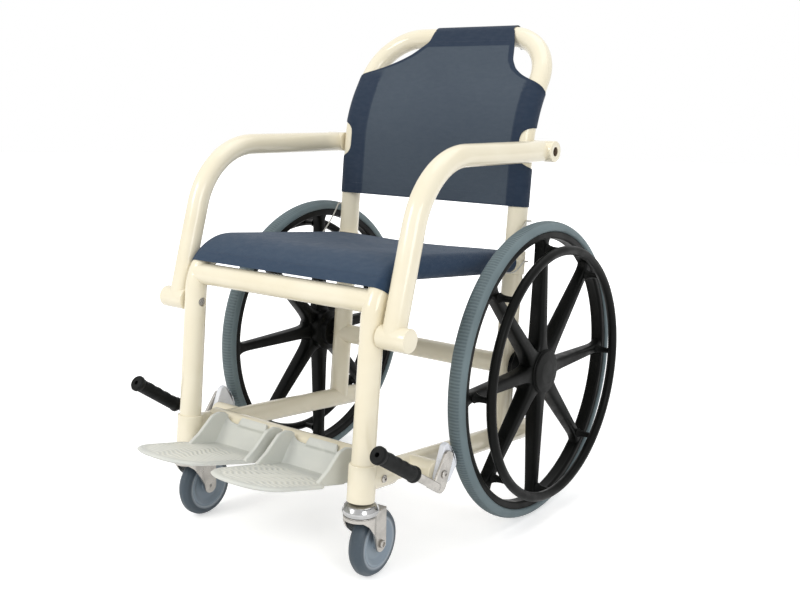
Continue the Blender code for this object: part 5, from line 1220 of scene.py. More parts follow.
@dataclass
class Footrests:
    """Flip-up footrests, each one casting: waved plate, heel wall, two cheeks and two clips."""

    layout: Layout
    crease_ahead: float = 0.043
    crease_z: float = 0.1681
    slope: float = math.radians(12.9)
    centre: float = 0.0973
    half: float = 0.0805
    heel_half: float = 0.0918
    heel_inner: float = 0.0115
    heel_outer: float = 0.1681
    length: float = 0.227
    nose: float = 0.070
    nose_power: float = 2.45
    thickness: float = 0.0075
    rim_start: float = 0.93
    tread_edge: tuple[float, float] = (0.86, 0.91)
    tread_start: tuple[float, float] = (0.030, 0.060)
    wave_pitch: float = 0.0125
    relief: tuple[float, float] = (0.0007, 0.0011)
    wall: float = 0.005
    cheek: float = 0.078
    clip_radius: float = 0.0218
    clip_wall: float = 0.005
    clip_width: float = 0.030
    cheek_wall: float = 0.008
    tube_local: tuple[float, float] = (-0.0356, 0.0374)
    lug: tuple[float, float] = (0.054, 0.126)
    lug_rise: float = 0.003
    lug_fade: float = 0.004
    folded_crease: float = math.radians(50.0)

    def build(self) -> None:
        """Build both footrests."""
        for tag, side in SIDES:
            shell = Shell()
            self.plate(shell, side)
            self.wall_grid(shell, side)
            for x in (self.heel_inner + self.cheek_wall / 2.0, self.heel_outer - self.cheek_wall / 2.0):
                self.cheek_slab(shell, side, x)
            self.clips(shell, side)
            show(shell, f"footrest_{tag}", FOOT, f"footrest_{tag}", "foot_grey", self.folded_crease)

    def world(self, local: np.ndarray, side: float) -> np.ndarray:
        """World points of x, distance forward of the heel crease and height over the plate."""
        c, s = math.cos(self.slope), math.sin(self.slope)
        y = self.layout.foot_axis[1] - self.crease_ahead - local[..., 1] * c + local[..., 2] * s
        z = self.crease_z + local[..., 1] * s + local[..., 2] * c
        return np.stack([side * local[..., 0], y, z], axis=-1)

    def edge(self, forward: np.ndarray) -> np.ndarray:
        """Half width of the plate behind its nose, narrowing evenly forwards."""
        return self.heel_half + (self.half - self.heel_half) * forward / (self.length - self.nose)

    def outline(self) -> np.ndarray:
        """Plate outline: a superelliptic nose, straight sides and a step in at the heel."""
        angle = np.linspace(math.pi, 0.0, 61)
        power = 2.0 / self.nose_power
        nose = np.stack([self.centre + self.half * signed_power(np.cos(angle), power),
                         self.length - self.nose + self.nose * np.sin(angle).clip(0.0) ** power], 1)
        toe = float(self.edge(np.array(self.cheek)))
        heel = [(self.centre + toe, self.cheek), (self.heel_outer, self.cheek - 0.012),
                (self.heel_outer, 0.0), (self.heel_inner, 0.0), (self.centre - toe, self.cheek)]
        corners = rounded_line([nose[-1], *heel, nose[0]], [0.012, 0.010, 0.004, 0.004, 0.040],
                               math.radians(10.0))
        return spaced(np.concatenate([nose, corners[1:]]), 0.0035)[:-1]

    def plate(self, shell: Shell, side: float) -> None:
        """Plate: rings from its middle to its outline, with waves in the tread.

        The height falls to the edge as a quarter superellipse. Inside the rim the tread is
        lowered and waved by a cosine of the forward distance that bends with x.
        """
        edge = self.outline()
        middle = edge.mean(axis=0)
        start, rim = self.rim_start, 0.07
        turn = np.linspace(0.3, math.pi / 2, 7)
        share = np.concatenate([np.linspace(0.0, start, 56), 1.0 - rim * np.cos(turn)])
        flat = middle + share[:, None, None] * (edge - middle)
        rounding = 1.0 - np.clip((share - start) / rim, 0.0, 1.0) ** 3.0
        inside = 1.0 - smooth_step(share, *self.tread_edge)
        x, f = flat[..., 0] - self.centre, flat[..., 1]
        bend = f + 0.009 * np.sin(x * 62.0) + 0.003 * np.sin(x * 171.0 + f * 60.0)
        wave = 0.5 + 0.5 * np.cos(bend * 2.0 * math.pi / self.wave_pitch)
        ahead = smooth_step(f, *self.tread_start)
        lowered, waved = self.relief
        relief = -inside[:, None] * (lowered + waved * (1.0 - wave) ** 1.5 * ahead)
        top = -0.5 * self.thickness * (1.0 - rounding)[:, None] + relief
        low = -self.thickness + 0.5 * self.thickness * (1.0 - rounding)[:, None]
        # the top face's mask marks the tread's ridge tops, where the finish paints a pale highlight
        shell.add(self.world(np.concatenate([flat, top[..., None]], -1), side),
                  hem=inside[:, None] * wave ** 2.0 * ahead)
        shell.add(self.world(np.concatenate([flat, np.broadcast_to(low, top.shape)[..., None]], -1), side))

    def wall_grid(self, shell: Shell, side: float) -> None:
        """Heel wall: it rises from the crease and wraps the front of the tube, with a lug on top.

        Each section is a closed loop: up the front face, round the top and down the back face.
        On the tube a face is a circle about its axis, up to an angle that is largest in the lug
        and beside the cheeks. Beside the cheeks the wall also curves forwards.
        """
        low, high = self.heel_inner + 0.004, self.heel_outer - 0.004
        x = np.linspace(low, high, 110)[:, None]
        beside = np.exp(-np.minimum(x - low, high - x) / 0.0085)
        fade = self.lug_fade
        risen, fallen = (smooth_step(x, end - fade, end + fade) for end in self.lug)
        lug = risen * (1.0 - fallen)
        top = np.radians(6.0 + 34.0 * lug + 40.0 * beside)
        loops = []
        share = np.linspace(0.0, 1.0, 12)
        around = top * share
        tube_f, tube_h = self.tube_local
        outer = self.clip_radius + self.clip_wall * 0.86
        for radius, foot, lift in ((outer, 0.0, self.lug_rise), (self.clip_radius, -0.0048, 0.0)):
            corners = [(0.006 + foot, -0.003), (-0.0010 + foot, 0.009), (-0.0065 + foot * 0.6, 0.025),
                       (tube_f + radius, tube_h)]
            rise = spaced(rounded_line(corners, [0.010, 0.020], math.radians(6.0)), 0.0028)[:-1]
            size = radius + lift * lug * smooth_step(share, 0.0, 0.25)
            arc = np.stack([tube_f + size * np.cos(around), tube_h + size * np.sin(around)], -1)
            face = np.concatenate([np.broadcast_to(rise, (len(x), *rise.shape)), arc], axis=1)
            face[..., 0] += 0.016 * beside * (1.0 - 0.7 * smooth_step(face[..., 1], 0.020, 0.055))
            loops.append(face)
        front, back = loops[0], loops[1][:, ::-1]
        round_top = (front[:, -1:] + back[:, :1]) / 2.0
        turn = unit(np.stack([-np.sin(top), np.cos(top)], -1)) * 0.0014
        loop = np.concatenate([front, round_top + turn, back], axis=1)
        grid = np.concatenate([np.broadcast_to(x[..., None], (*loop.shape[:2], 1)), loop], -1)
        shell.add(self.world(capped(grid), side))

    def cheek_slab(self, shell: Shell, side: float, x: float) -> None:
        """Cheek: an upright plate whose top climbs from its toe and passes over the tube."""
        reach = self.clip_radius + 0.0006
        around = np.radians(np.linspace(26.0, -60.0, 18))[:, None]
        saddle = np.array(self.tube_local) + reach * np.concatenate([np.cos(around), np.sin(around)], 1)
        middle, low = 0.030, -0.0045
        top = rounded_line([(middle, low), (self.cheek + 0.006, low), (0.0570, 0.0200), (0.0300, 0.0540),
                            (0.0120, 0.0605), (-0.0060, 0.0590), (-0.0130, 0.0520), tuple(saddle[0])],
                           [0.004, 0.020, 0.020, 0.012, 0.008, 0.004], math.radians(8.0))
        base = rounded_line([tuple(saddle[-1]), (-0.0240, 0.0080), (-0.0120, low), (middle, low)],
                            [0.006, 0.006])
        outline = spaced(np.concatenate([top, saddle, base[1:]]), 0.0022)[:-1]
        shell.slab(outline, self.cheek_wall, 0.0022,
                   lambda p: self.world(np.stack([x + p[..., 2], p[..., 0], p[..., 1]], -1), side))

    def clips(self, shell: Shell, side: float) -> None:
        """Two clips: open rings of flat section round the tube."""
        tube = self.layout.foot_axis[1:]
        angle = np.radians(np.linspace(176.0, 372.0, 40))
        ring = np.stack([np.cos(angle), np.sin(angle)], 1)
        outline = np.concatenate([tube + ring * (self.clip_radius + self.clip_wall),
                                  tube + ring[::-1] * self.clip_radius])
        inset_x = self.wall + self.clip_width / 2.0 + 0.010
        for x in (self.heel_inner + inset_x, self.heel_outer - inset_x):
            shell.slab(outline, self.clip_width, 0.0012, upright(side * x))


@dataclass
class Brakes:
    """Lever brakes: shoe, lever with its handle, and grip."""

    layout: Layout
    turns: tuple[float, float] = (0.0, math.radians(2.5))
    shoe_x: float = 0.2853
    shoe: float = 0.012
    shoe_bevel: float = 0.0014
    lever: float = 0.006
    lever_bevel: float = 0.0010
    rest_radius: float = 0.0508
    lobe: float = 0.0067
    tooth_turn: float = 7.0
    tooth_depth: float = 0.0022
    lever_angle: float = math.radians(60.0)
    lever_half: float = 0.013
    elbow_half: float = 0.0175
    handle_half: float = 0.0080
    handle_depth: float = 0.0040
    handle_offset: float = 0.008
    bar_points: int = 24
    lever_reach: float = 0.031
    elbow: tuple[float, float] = (-0.0183, -0.0202)
    handle_angle: float = math.radians(148.1)
    handle: float = 0.210
    grip_radius: float = 0.0138
    grip_flange: float = 0.0160
    grip: float = 0.124
    scallop: tuple[float, float] = (0.024, 0.0011)
    grip_ring: tuple[float, float] = (0.0036, 0.00035)

    def build(self) -> None:
        """Build both brakes."""
        pivot = self.layout.brake_pivot
        for (tag, side), turn in zip(SIDES, self.turns):

            def resting(points: np.ndarray) -> np.ndarray:
                """Points turned to the angle at which this brake rests."""
                return tipped(points, pivot, -turn)

            body = f"brake_{tag}"
            shoe = Shell().slab(self.shoe_outline(pivot[1:]), self.shoe, self.shoe_bevel,
                                lambda p: resting(upright(side * (self.shoe_x + self.shoe / 2.0))(p)))
            show(shoe, f"brake_shoe_{tag}", SHOE, body, "shoe_white")
            lever_x = self.shoe_x + self.shoe + GAP
            lever = Shell().slab(self.lever_outline(pivot[1:]), self.lever, self.lever_bevel,
                                 lambda p: resting(upright(side * (lever_x + self.lever / 2.0))(p)))
            handle_x = side * (lever_x + self.handle_offset + 3.0 * GAP)
            start = np.array([handle_x, pivot[1] + self.elbow[0], pivot[2] + self.elbow[1]])
            along = np.array([0.0, math.cos(self.handle_angle), math.sin(self.handle_angle)])
            bar = straight(start - along * 0.002, start + along * (self.handle - self.grip + 0.010),
                           self.bar_points)
            halves = (np.full(self.bar_points, half) for half in (self.handle_depth, self.handle_half))
            section = superellipse(*halves, 4.0, 32)
            section[[0, -1]] *= 0.0
            section[1] *= 0.93
            lever.add(resting(swept(bar, section, X_AXIS)))
            show(lever, f"brake_lever_{tag}", STAINLESS, body, "stainless")
            grip = Shell().add(resting(self.grip_grid(start + along * (self.handle + 0.0045), along)))
            show(grip, f"brake_grip_{tag}", GRIP, body, "grip_black")

    def shoe_outline(self, pivot: np.ndarray) -> np.ndarray:
        """Shoe outline: a cam about the pivot with small teeth, and a straight-sided back.

        The cam's radius is the rest radius plus a lobe that grows evenly over 30 degrees, less
        the height of a triangle wave with the turn.
        """
        degrees = np.linspace(4.0, 70.0, 100)
        radius = self.rest_radius + self.lobe * np.clip((degrees - 40.0) / 30.0, 0.0, None)
        tooth = np.abs(((degrees / self.tooth_turn) % 1.0) - 0.5) * 2.0 * smooth_step(degrees, 28.0, 38.0)
        radius = radius - self.tooth_depth * tooth
        angle = np.radians(degrees)
        cam = np.stack([radius * np.cos(angle), radius * np.sin(angle)], 1)
        back = rounded_line([cam[-1], (0.0103, 0.0495), (-0.0135, -0.0100), (0.0260, -0.0258), cam[0]],
                            [0.006, 0.008, 0.010], math.radians(10.0))
        return np.concatenate([cam, back[1:-1]]) + pivot

    def lever_outline(self, pivot: np.ndarray) -> np.ndarray:
        """Lever plate: a rounded head, sides that spread downwards and a rounded elbow.

        The elbow's outer and inner corners are where the plate's sides cross the handle's edges.
        """
        up = np.array([math.cos(self.lever_angle), math.sin(self.lever_angle)])
        across = np.array([-up[1], up[0]])
        top = up * (self.lever_reach + self.lever_half)
        handle = np.array([math.cos(self.handle_angle), math.sin(self.handle_angle)])
        over = np.array([handle[1], -handle[0]]) * self.handle_half
        elbow = np.array(self.elbow)

        def corner(sign: float) -> np.ndarray:
            """Where one side of the plate crosses the handle's edge on that side."""
            high, low = top + sign * across * self.lever_half, sign * across * self.elbow_half
            share = np.linalg.solve(np.stack([low - high, -handle], 1), elbow + sign * over - low)
            return low + (low - high) * share[0]

        end = elbow + handle * 0.030
        corners = [top - across * self.lever_half, top + across * self.lever_half, corner(1.0), end + over,
                   end - over, corner(-1.0)]
        return rounded_ring(corners, [0.0118, 0.0118, 0.002, 0.002, 0.002, 0.016], math.radians(8.0)) + pivot

    def grip_grid(self, last: np.ndarray, along: np.ndarray) -> np.ndarray:
        """Grip: a tube with two flanges, a hole in its end and finger scallops underneath.

        The radius is the profile's, less a scallop, which is half a cosine along the grip times
        the share by which a point faces down, and less fine rings, the square of a sine.
        """
        flange, radius, reach = self.grip_flange, self.grip_radius, self.grip
        back = [(0.0, 0.0128), (0.0040, 0.0128), (0.0044, 0.0), (0.0060, 0.0), (0.85 * flange, 0.0),
                (flange, 0.0030), (flange, 0.0075), (radius + 0.0004, 0.0100), (radius, 0.0130)]
        front = [(radius, reach - 0.010), (radius + 0.0003, reach - 0.0080), (0.95 * flange, reach - 0.0060),
                 (0.95 * flange, reach - 0.0020), (0.86 * flange, reach), (0.0082, reach),
                 (0.0080, reach - 0.004), (0.0, reach - 0.004)]
        middle = np.stack([np.full(90, radius), np.linspace(0.0135, reach - 0.0105, 90)], 1)
        profile = np.concatenate([back, middle, front])
        line = last - profile[:, 1:] * along
        ring = circle(48)
        facing = np.clip(-ring[:, 1], 0.0, None) ** 1.5
        at = profile[:, 1]
        (length, depth), (pitch, rib) = self.scallop, self.grip_ring
        wave = 0.5 - 0.5 * np.cos((at - 0.012) / length * 2.0 * math.pi)
        inside = (at > 0.013) & (at < reach - 0.0100) & (profile[:, 0] >= radius)
        rings = rib * (np.sin(at * 2.0 * math.pi / pitch) ** 2)
        size = profile[:, :1] - (depth * wave * inside)[:, None] * facing - (rings * inside)[:, None]
        return swept(line, size[..., None] * ring, X_AXIS, np.repeat(-along[None], len(line), 0))


@dataclass
class WrappedCloth:
    """Cloth stretched over two side tubes and wrapped round them.

    A place on the flat cloth is q across it. Up to the tubes' axes q is x; past them it is an
    arc round the tube: x grows by the radius times the sine of the arc's angle and the height
    over the axis is the radius times its cosine.
    """

    layout: Layout
    clearance: float = 0.0005
    thickness: float = 0.0010

    def surface(self, line: np.ndarray, normal: np.ndarray, right: np.ndarray, left: np.ndarray, lift: float,
                sag: np.ndarray, columns: int) -> tuple[np.ndarray, np.ndarray]:
        """One face of the cloth.

        Args:
            line: points in the middle plane on the height of the tubes' axes.
            normal: the direction out of the panel at each of them.
            right: how far q runs on the right at each.
            left: how far q runs on the left at each.
            lift: distance of this face from the cloth's inner face.
            sag: how far the middle hangs in at each.
            columns: points across.

        Returns:
            The grid of points, and q of each.
        """
        share = np.linspace(0.0, 1.0, columns)
        q = -right[:, None] + (right + left)[:, None] * share
        return self.lifted(line, normal, q, lift, sag), q

    def lifted(self, line: np.ndarray, normal: np.ndarray, q: np.ndarray, lift: float,
               sag: np.ndarray) -> np.ndarray:
        """Points of one face, from q at every point of it."""
        post = self.layout.post_x
        radius = self.layout.tube + self.clearance + lift
        past = np.clip(np.abs(q) - post, 0.0, None) / (self.layout.tube + self.clearance)
        x = np.sign(q) * (np.minimum(np.abs(q), post) + radius * np.sin(past))
        hang = sag[:, None] * np.cos(np.clip(q / post, -1.0, 1.0) * math.pi / 2.0) ** 2
        height = radius * np.cos(past) - hang * (past == 0.0)
        points = line[:, None] + height[..., None] * normal[:, None]
        points[..., 0] = x
        return points


@dataclass
class SeatSling(WrappedCloth):
    """Seat cloth over the two seat rails."""

    front_angle: float = math.radians(32.0)
    rear_gap: float = 0.006
    wrap: float = math.radians(200.0)
    sag: float = 0.007
    columns: int = 170
    ripple: tuple[float, float] = (0.0012, 34.0)
    pucker: tuple[float, float, float] = (0.00025, 900.0, 0.004)
    groove: tuple[float, float] = (0.0007, 0.0022)
    hem: float = 0.022
    flat_size: tuple[float, float] = (0.599, 0.437)

    def build(self) -> None:
        """Build the cloth and its stitching."""
        lay = self.layout
        angle = np.linspace(self.front_angle, math.pi / 2.0, 26)
        u = lay.front_u + lay.seat_bend * (1.0 - np.cos(angle))
        w = lay.seat_w - lay.seat_bend * (1.0 - np.sin(angle))
        flat_u = np.linspace(u[-1], -(lay.tube + self.rear_gap), 66)[1:]
        u, w = np.concatenate([u, flat_u]), np.concatenate([w, np.full(len(flat_u), lay.seat_w)])
        facing = np.concatenate([angle, np.full(len(flat_u), math.pi / 2.0)])
        line = lay.point(np.stack([np.zeros_like(u), u, w], 1))
        tip = lay.point(np.stack([np.zeros_like(u), u - np.cos(facing), w + np.sin(facing)], 1))
        normal = tip - line
        run = runs(line)
        reach = np.full(len(u), lay.post_x + (lay.tube + self.clearance) * self.wrap)
        rear = 1.0 - 0.45 * smooth_step(run, run[-1] - 0.10, run[-1])
        height, turns = self.ripple
        sag = self.sag * smooth_step(run, 0.02, 0.16) * rear
        sag = sag + height * np.sin(run * turns) * smooth_step(run, 0.05, 0.10)
        inner, q = self.surface(line, normal, reach, reach, 0.0, sag, self.columns)
        edge = np.minimum(run, run[-1] - run)
        band = 1.0 - smooth_step(edge, self.hem - 0.001, self.hem)
        sides = smooth_step(np.abs(q), lay.post_x - 0.004, lay.post_x + 0.010)
        mask = np.maximum(band[:, None] * 0.35, sides)
        outer, _ = self.surface(line, normal, reach, reach, self.thickness, sag, self.columns)
        height, turns, width = self.pucker
        pucker = height * np.sin(q * turns) * np.exp(-((edge[:, None] - self.hem) / width) ** 2)
        depth, width = self.groove
        crease = -depth * np.exp(-((np.abs(q) - lay.post_x - 0.004) / width) ** 2)
        upper = (np.abs(q) < lay.post_x + 0.02)[..., None]
        outer = outer + (pucker + crease)[..., None] * normal[:, None] * upper
        item = Shell().sheet(outer, inner, mask).build("seat_cloth", SEAT_CLOTH)
        put(item, "frame", "seat_fabric", "seat_sling")
        rows = [int(np.argmin(np.abs(run - at))) for at in (self.hem * 0.85, run[-1] - self.hem * 0.85)]
        seams = [spaced(outer[r, 20:-20], STITCH_PITCH) for r in rows]
        stitches("seat_stitching", seams, normal[rows], "frame")


@dataclass
class BackSling(WrappedCloth):
    """Back cloth: wraps the posts, narrows to a neck and folds over the top of the hoop."""

    bottom_w: float = 0.328
    wrap: float = math.radians(205.0)
    sag: float = 0.006
    columns: int = 150
    notch_half: float = 0.0465
    notch_rise: float = 0.008
    notch_reach: tuple[float, float] = (0.2235, 0.213)
    hem: float = 0.026
    top_hem: float = 0.040
    seam_left: float = 0.207
    seam_right: float = 0.175
    flat_size: tuple[float, float] = (0.602, 0.425)
    flat_share: float = 0.82
    left_edge: tuple[tuple[float, float], ...] = (
        (0.868, 0.3015), (0.8745, 0.262), (0.880, 0.2345), (0.895, 0.194),
        (0.9095, 0.1716), (0.928, 0.1575), (0.957, 0.1495), (1.01, 0.128))
    right_edge: tuple[tuple[float, float], ...] = (
        (0.874, 0.3015), (0.888, 0.272), (0.897, 0.236), (0.913, 0.176),
        (0.928, 0.138), (0.942, 0.110), (0.969, 0.074), (1.01, 0.066))

    def build(self) -> None:
        """Build the cloth and its stitching."""
        lay = self.layout
        corners = lay.hoop_corners
        side_line = rounded_line([(0.0, 0.0, self.bottom_w), (0.0, *corners[1][1:]), (0.0, *corners[2][1:])],
                                 [lay.back_radius], math.radians(2.0))
        line = self.finer(spaced(lay.point(side_line), 0.0026))
        tangent = unit(np.gradient(line, axis=0))
        normal = np.stack([np.zeros(len(line)), -tangent[:, 2], tangent[:, 1]], 1)
        fold = np.linspace(0.0, self.wrap, 34)[1:, None]
        top, slope, front = line[-1], tangent[-1], normal[-1]
        line = np.concatenate([line, np.repeat(top[None], len(fold), 0)])
        normal = np.concatenate([normal, front * np.cos(fold) + slope * np.sin(fold)])
        skin = line + normal * lay.tube
        run = runs(skin)
        height = skin[:, 2].copy()
        height[-len(fold):] = np.maximum.accumulate(height)[-1]
        (left, right), (cut_left, cut_right) = self.edges(height)
        crest = run[-len(fold)]
        fade = 1.0 - smooth_step(run, crest - 0.13, crest - 0.02)
        sag = self.sag * fade * (0.55 + 0.45 * smooth_step(run, 0.0, 0.08))
        q = -right[:, None] + (right + left)[:, None] * np.linspace(0.0, 1.0, self.columns)
        q = np.clip(q, -cut_right[:, None], cut_left[:, None])
        inner = self.lifted(line, normal, q, 0.0, sag)
        outer = self.lifted(line, normal, q, self.thickness, sag)
        border = np.minimum(q + right[:, None], left[:, None] - q)
        neck = smooth_step(height, 0.895, 0.915)[:, None]
        seam = np.where(q > 0.0, self.seam_left, self.seam_right)
        sides = smooth_step(np.abs(q), seam - 0.0015, seam) * (1.0 - neck)
        shoulder = (1.0 - smooth_step(border, 0.012, 0.014)) * smooth_step(height, 0.86, 0.88)[:, None]
        bottom = 0.4 * (1.0 - smooth_step(run, 0.003, 0.005))[:, None]
        cap = smooth_step(run, crest - self.top_hem - 0.001, crest - self.top_hem + 0.001)[:, None]
        mask = np.maximum.reduce(np.broadcast_arrays(sides, shoulder, bottom, cap))
        along = run[:, None]
        folds = 0.0009 * np.sin((q * 26.0 + along * 9.0)) * np.exp(-((along - 0.02) / 0.05) ** 2)
        raised = 0.00045 * mask + folds * (np.abs(q) < 0.19)
        outer = outer + raised[..., None] * normal[:, None]
        flat = np.stack([q, np.broadcast_to(along, q.shape)], -1)
        item = Shell().sheet(outer, inner, mask, flat).build("back_cloth", BACK_CLOTH)
        put(item, "frame", "seat_fabric", "back_sling")
        self.seams(outer, normal, q, run, height, len(fold))

    def finer(self, line: np.ndarray) -> np.ndarray:
        """The same line with points half a millimetre apart where the notches begin and end."""
        run = runs(line)
        middle = float(self.layout.arm_crossing[2]) + self.notch_rise
        ends = np.interp([middle - self.notch_half, middle + self.notch_half], line[:, 2], run)
        close = (np.arange(end - 0.007, end + 0.007, 0.0005) for end in ends)
        return resampled(line, run, np.unique(np.concatenate([run, *close])))

    def edges(self, height: np.ndarray) -> tuple[list[np.ndarray], list[np.ndarray]]:
        """How far the cloth reaches on each side at each height, before and after the notches.

        The shoulder is a smoothed line through its edge's points, and the notch for the arm is
        a superellipse of the fourth power in height.
        """
        reach = self.layout.post_x + (self.layout.tube + self.clearance) * self.wrap
        crossing = float(self.layout.arm_crossing[2]) + self.notch_rise
        bite = np.clip(1.0 - (np.abs(height - crossing) / self.notch_half) ** 4, 0.0, None) ** 0.5
        whole, notched = [], []
        even = np.linspace(height[0], height[-1], 400)
        kernel = np.hanning(21) / np.hanning(21).sum()
        for edge, depth in zip((self.left_edge, self.right_edge), self.notch_reach):
            z, x = np.array(edge).T
            side = np.interp(even, z, x, left=reach)
            side = np.convolve(np.pad(side, 10, mode="edge"), kernel, mode="valid")
            whole.append(np.interp(height, even, side))
            notched.append(np.minimum(whole[-1], reach - (reach - depth) * bite))
        return whole, notched

    def seams(self, outer: np.ndarray, normal: np.ndarray, q: np.ndarray, run: np.ndarray, height: np.ndarray,
              fold: int) -> None:
        """Stitch lines along the bottom hem, the side pockets and the top hem."""
        low = int(np.argmin(np.abs(run - self.hem * 0.9)))
        high = int(np.argmin(np.abs(run - (run[-fold] - 0.029))))
        lines = [spaced(outer[low, 24:-24], STITCH_PITCH), spaced(outer[high, 6:-6], STITCH_PITCH)]
        directions = [normal[low], normal[high]]
        upto = int(np.argmin(np.abs(height[:-fold] - 0.885)))
        for seam in (self.seam_left, -self.seam_right):
            column = np.argmin(np.abs(q[low:upto] - seam), axis=1)
            path = outer[low:upto][np.arange(upto - low), column]
            path[:, 0] = seam
            lines.append(spaced(path, STITCH_PITCH))
            directions.append(normal[(low + upto) // 2])
        stitches("back_stitching", lines, np.array(directions), "frame")


def stitches(name: str, seams: list[np.ndarray], normals: np.ndarray, body: str) -> None:
    """Rows of short stitches, each a small ellipsoid that lies along its seam.

    A point of a stitch is its centre plus the unit sphere's point scaled along the seam, across
    it and out of the cloth.
    """
    rows, cols = 5, 6
    tilt = np.linspace(0.0, math.pi, rows)[:, None]
    ring = circle(cols)
    ball = np.stack([np.broadcast_to(np.cos(tilt), (rows, cols)), np.sin(tilt) * ring[:, 0],
                     np.sin(tilt) * ring[:, 1]], -1) * STITCH_HALVES
    shell = Shell()
    for seam, normal in zip(seams, normals):
        along = unit(np.gradient(seam, axis=0))
        across = unit(np.cross(along, normal))
        basis = np.stack([along, across, np.broadcast_to(normal, along.shape)], axis=1)
        grids = seam[:, None, None] + np.einsum("rci,nij->nrcj", ball, basis)
        for grid in grids:
            shell.add(grid)
    put(shell.build(name, THREAD), body, "seat_fabric")


@dataclass
class CordsAndMetal:
    """Cords, screw eyes, bolts and the hem screw."""

    layout: Layout
    upper_w: float = 0.301
    lower_w: float = 0.218
    ring: float = 0.0045
    wire: float = 0.0015
    shank: float = 0.0070
    cord: float = 0.0015
    reach: float = 0.1126
    bow: float = 0.0076
    cord_gap: float = 0.0015
    rail_bolt: tuple[float, float, float, float] = (0.007, 0.004, 0.0035, 0.012)
    pivot_bolt: tuple[float, float, float, float] = (0.0075, 0.004, 0.004, 0.0369)
    pivot_seat: float = 0.3039
    screw_x: float = 0.1475
    screw_sunk: float = 0.0015
    screw: tuple[tuple[float, float], ...] = ((0.0, 0.0), (0.0040, 0.0), (0.0040, 0.0008), (0.0031, 0.0022),
                                              (0.0016, 0.0029), (0.0, 0.0030))
    left_loop: tuple = ((0.61, 0.24, 0.86), (0.87, 0.55, 0.68), (1.00, 0.86, 0.46), (1.00, 1.00, 0.17),
                        (0.87, 0.86, -0.11), (0.61, 0.45, -0.17))
    right_loop: tuple = ((0.34, 0.17, 0.66), (0.47, 0.47, 0.24), (0.61, 0.82, 0.03), (0.74, 1.00, -0.11),
                         (0.67, 0.82, -0.26), (0.47, 0.43, -0.22))

    def build(self) -> None:
        """Build each side's cord, eyelets and bolts, then the hem screw."""
        for (tag, side), loop in zip(SIDES, (self.left_loop, self.right_loop)):
            self.cord_piece(tag, side, loop)
            for label, w in (("upper", self.upper_w), ("lower", self.lower_w)):
                self.eyelet(f"cord_eyelet_{label}_{tag}", side, w)
            self.bolts(tag, side)
        for name in ("rear_axle", "armrest_bolt_L", "armrest_bolt_R"):
            frame["nodes"][name].data.materials.clear()
            frame["nodes"][name].data.materials.append(STAINLESS.material())
        self.hem_screw()

    def eye(self, side: float, w: float) -> np.ndarray:
        """Middle of an eyelet's ring, outboard of the rear post."""
        place = self.layout.point((0.0, 0.0, w))
        place[0] = side * (self.layout.post_x + self.layout.tube + GAP + self.shank)
        return place

    def cord_piece(self, tag: str, side: float, loop: tuple) -> None:
        """Cord from its upper eyelet forward, down and back to its lower eyelet.

        The line is a Catmull-Rom curve through the ends and the loop's points, which are shares
        of the bow outwards, of the reach forward and of the eyelets' spacing upwards.
        """
        start, end = self.eye(side, self.upper_w), self.eye(side, self.lower_w)
        off = np.array([0.0, -(self.ring + self.wire + GAP), 0.0])
        lead = np.array([0.0, -2.0 * self.cord, 0.0])
        scale = np.array([side * self.bow, -self.reach, self.upper_w - self.lower_w])
        points = np.array([start + off, start + off + lead, *(end + np.array(loop) * scale), end + off + lead,
                           end + off])
        ends = np.concatenate([[2.0 * points[0] - points[1]], points, [2.0 * points[-1] - points[-2]]])
        t = np.linspace(0.0, 1.0, 12, endpoint=False)[:, None, None]
        a, b, c, d = ends[:-3], ends[1:-2], ends[2:-1], ends[3:]
        curve = 0.5 * (2.0 * b + (c - a) * t + (2.0 * a - 5.0 * b + 4.0 * c - d) * t ** 2
                       + (3.0 * b - 3.0 * c + d - a) * t ** 3)
        line = spaced(np.concatenate([curve.transpose(1, 0, 2).reshape(-1, 3), points[-1:]]), self.cord_gap)
        shell = Shell().add(pipe(line, self.cord, X_AXIS, sides=16))
        item = show(shell, f"cord_{tag}", CORD, "frame", "cord_grey")
        LOG.info("cord_%s is %.3f m long", tag, length_of(line))

    def eyelet(self, name: str, side: float, w: float) -> None:
        """Screw eye: a ring of round wire and its shank."""
        centre = self.eye(side, w)
        profile = circle(14) * self.wire + (self.ring, 0.0)
        shell = Shell().add(turned(profile, centre, Z_AXIS, 40), wrap_rows=True)
        inner = np.array([side * (self.layout.post_x + self.layout.tube + GAP), centre[1], centre[2]])
        outer = np.array([centre[0] - side * self.ring, centre[1], centre[2]])
        shell.add(pipe(straight(inner, outer), self.wire, Z_AXIS, sides=16))
        show(shell, name, STAINLESS, "frame", "stainless")

    def bolts(self, tag: str, side: float) -> None:
        """The fitting's bolt and the brake's pivot bolt, each a button head with a socket."""
        lay = self.layout
        rail = lay.point((0.0, lay.rail_bolt_u, lay.rail_w))
        bolts = {"rail_bolt": (rail, lay.post_x + lay.fitting + GAP, self.rail_bolt),
                 "brake_pivot_bolt": (lay.brake_pivot, self.pivot_seat, self.pivot_bolt)}
        for name, (centre, seat, (radius, height, shank, depth)) in bolts.items():
            corners = [(0.0, seat - depth), (shank, seat - depth), (shank, seat), (radius, seat),
                       (radius, seat + 0.45 * height), (0.62 * radius, seat + height),
                       (0.40 * radius, seat + height), (0.36 * radius, seat + 0.35 * height),
                       (0.0, seat + 0.35 * height)]
            profile = rounded_line(corners, [0.0003, 0.0003, 0.0003, 0.0008, 0.0010, 0.0003, 0.0003],
                                   math.radians(20.0))
            shell = Shell().add(turned(profile, centre, (side, 0.0, 0.0), 36))
            show(shell, f"{name}_{tag}", STAINLESS, "frame", "stainless")

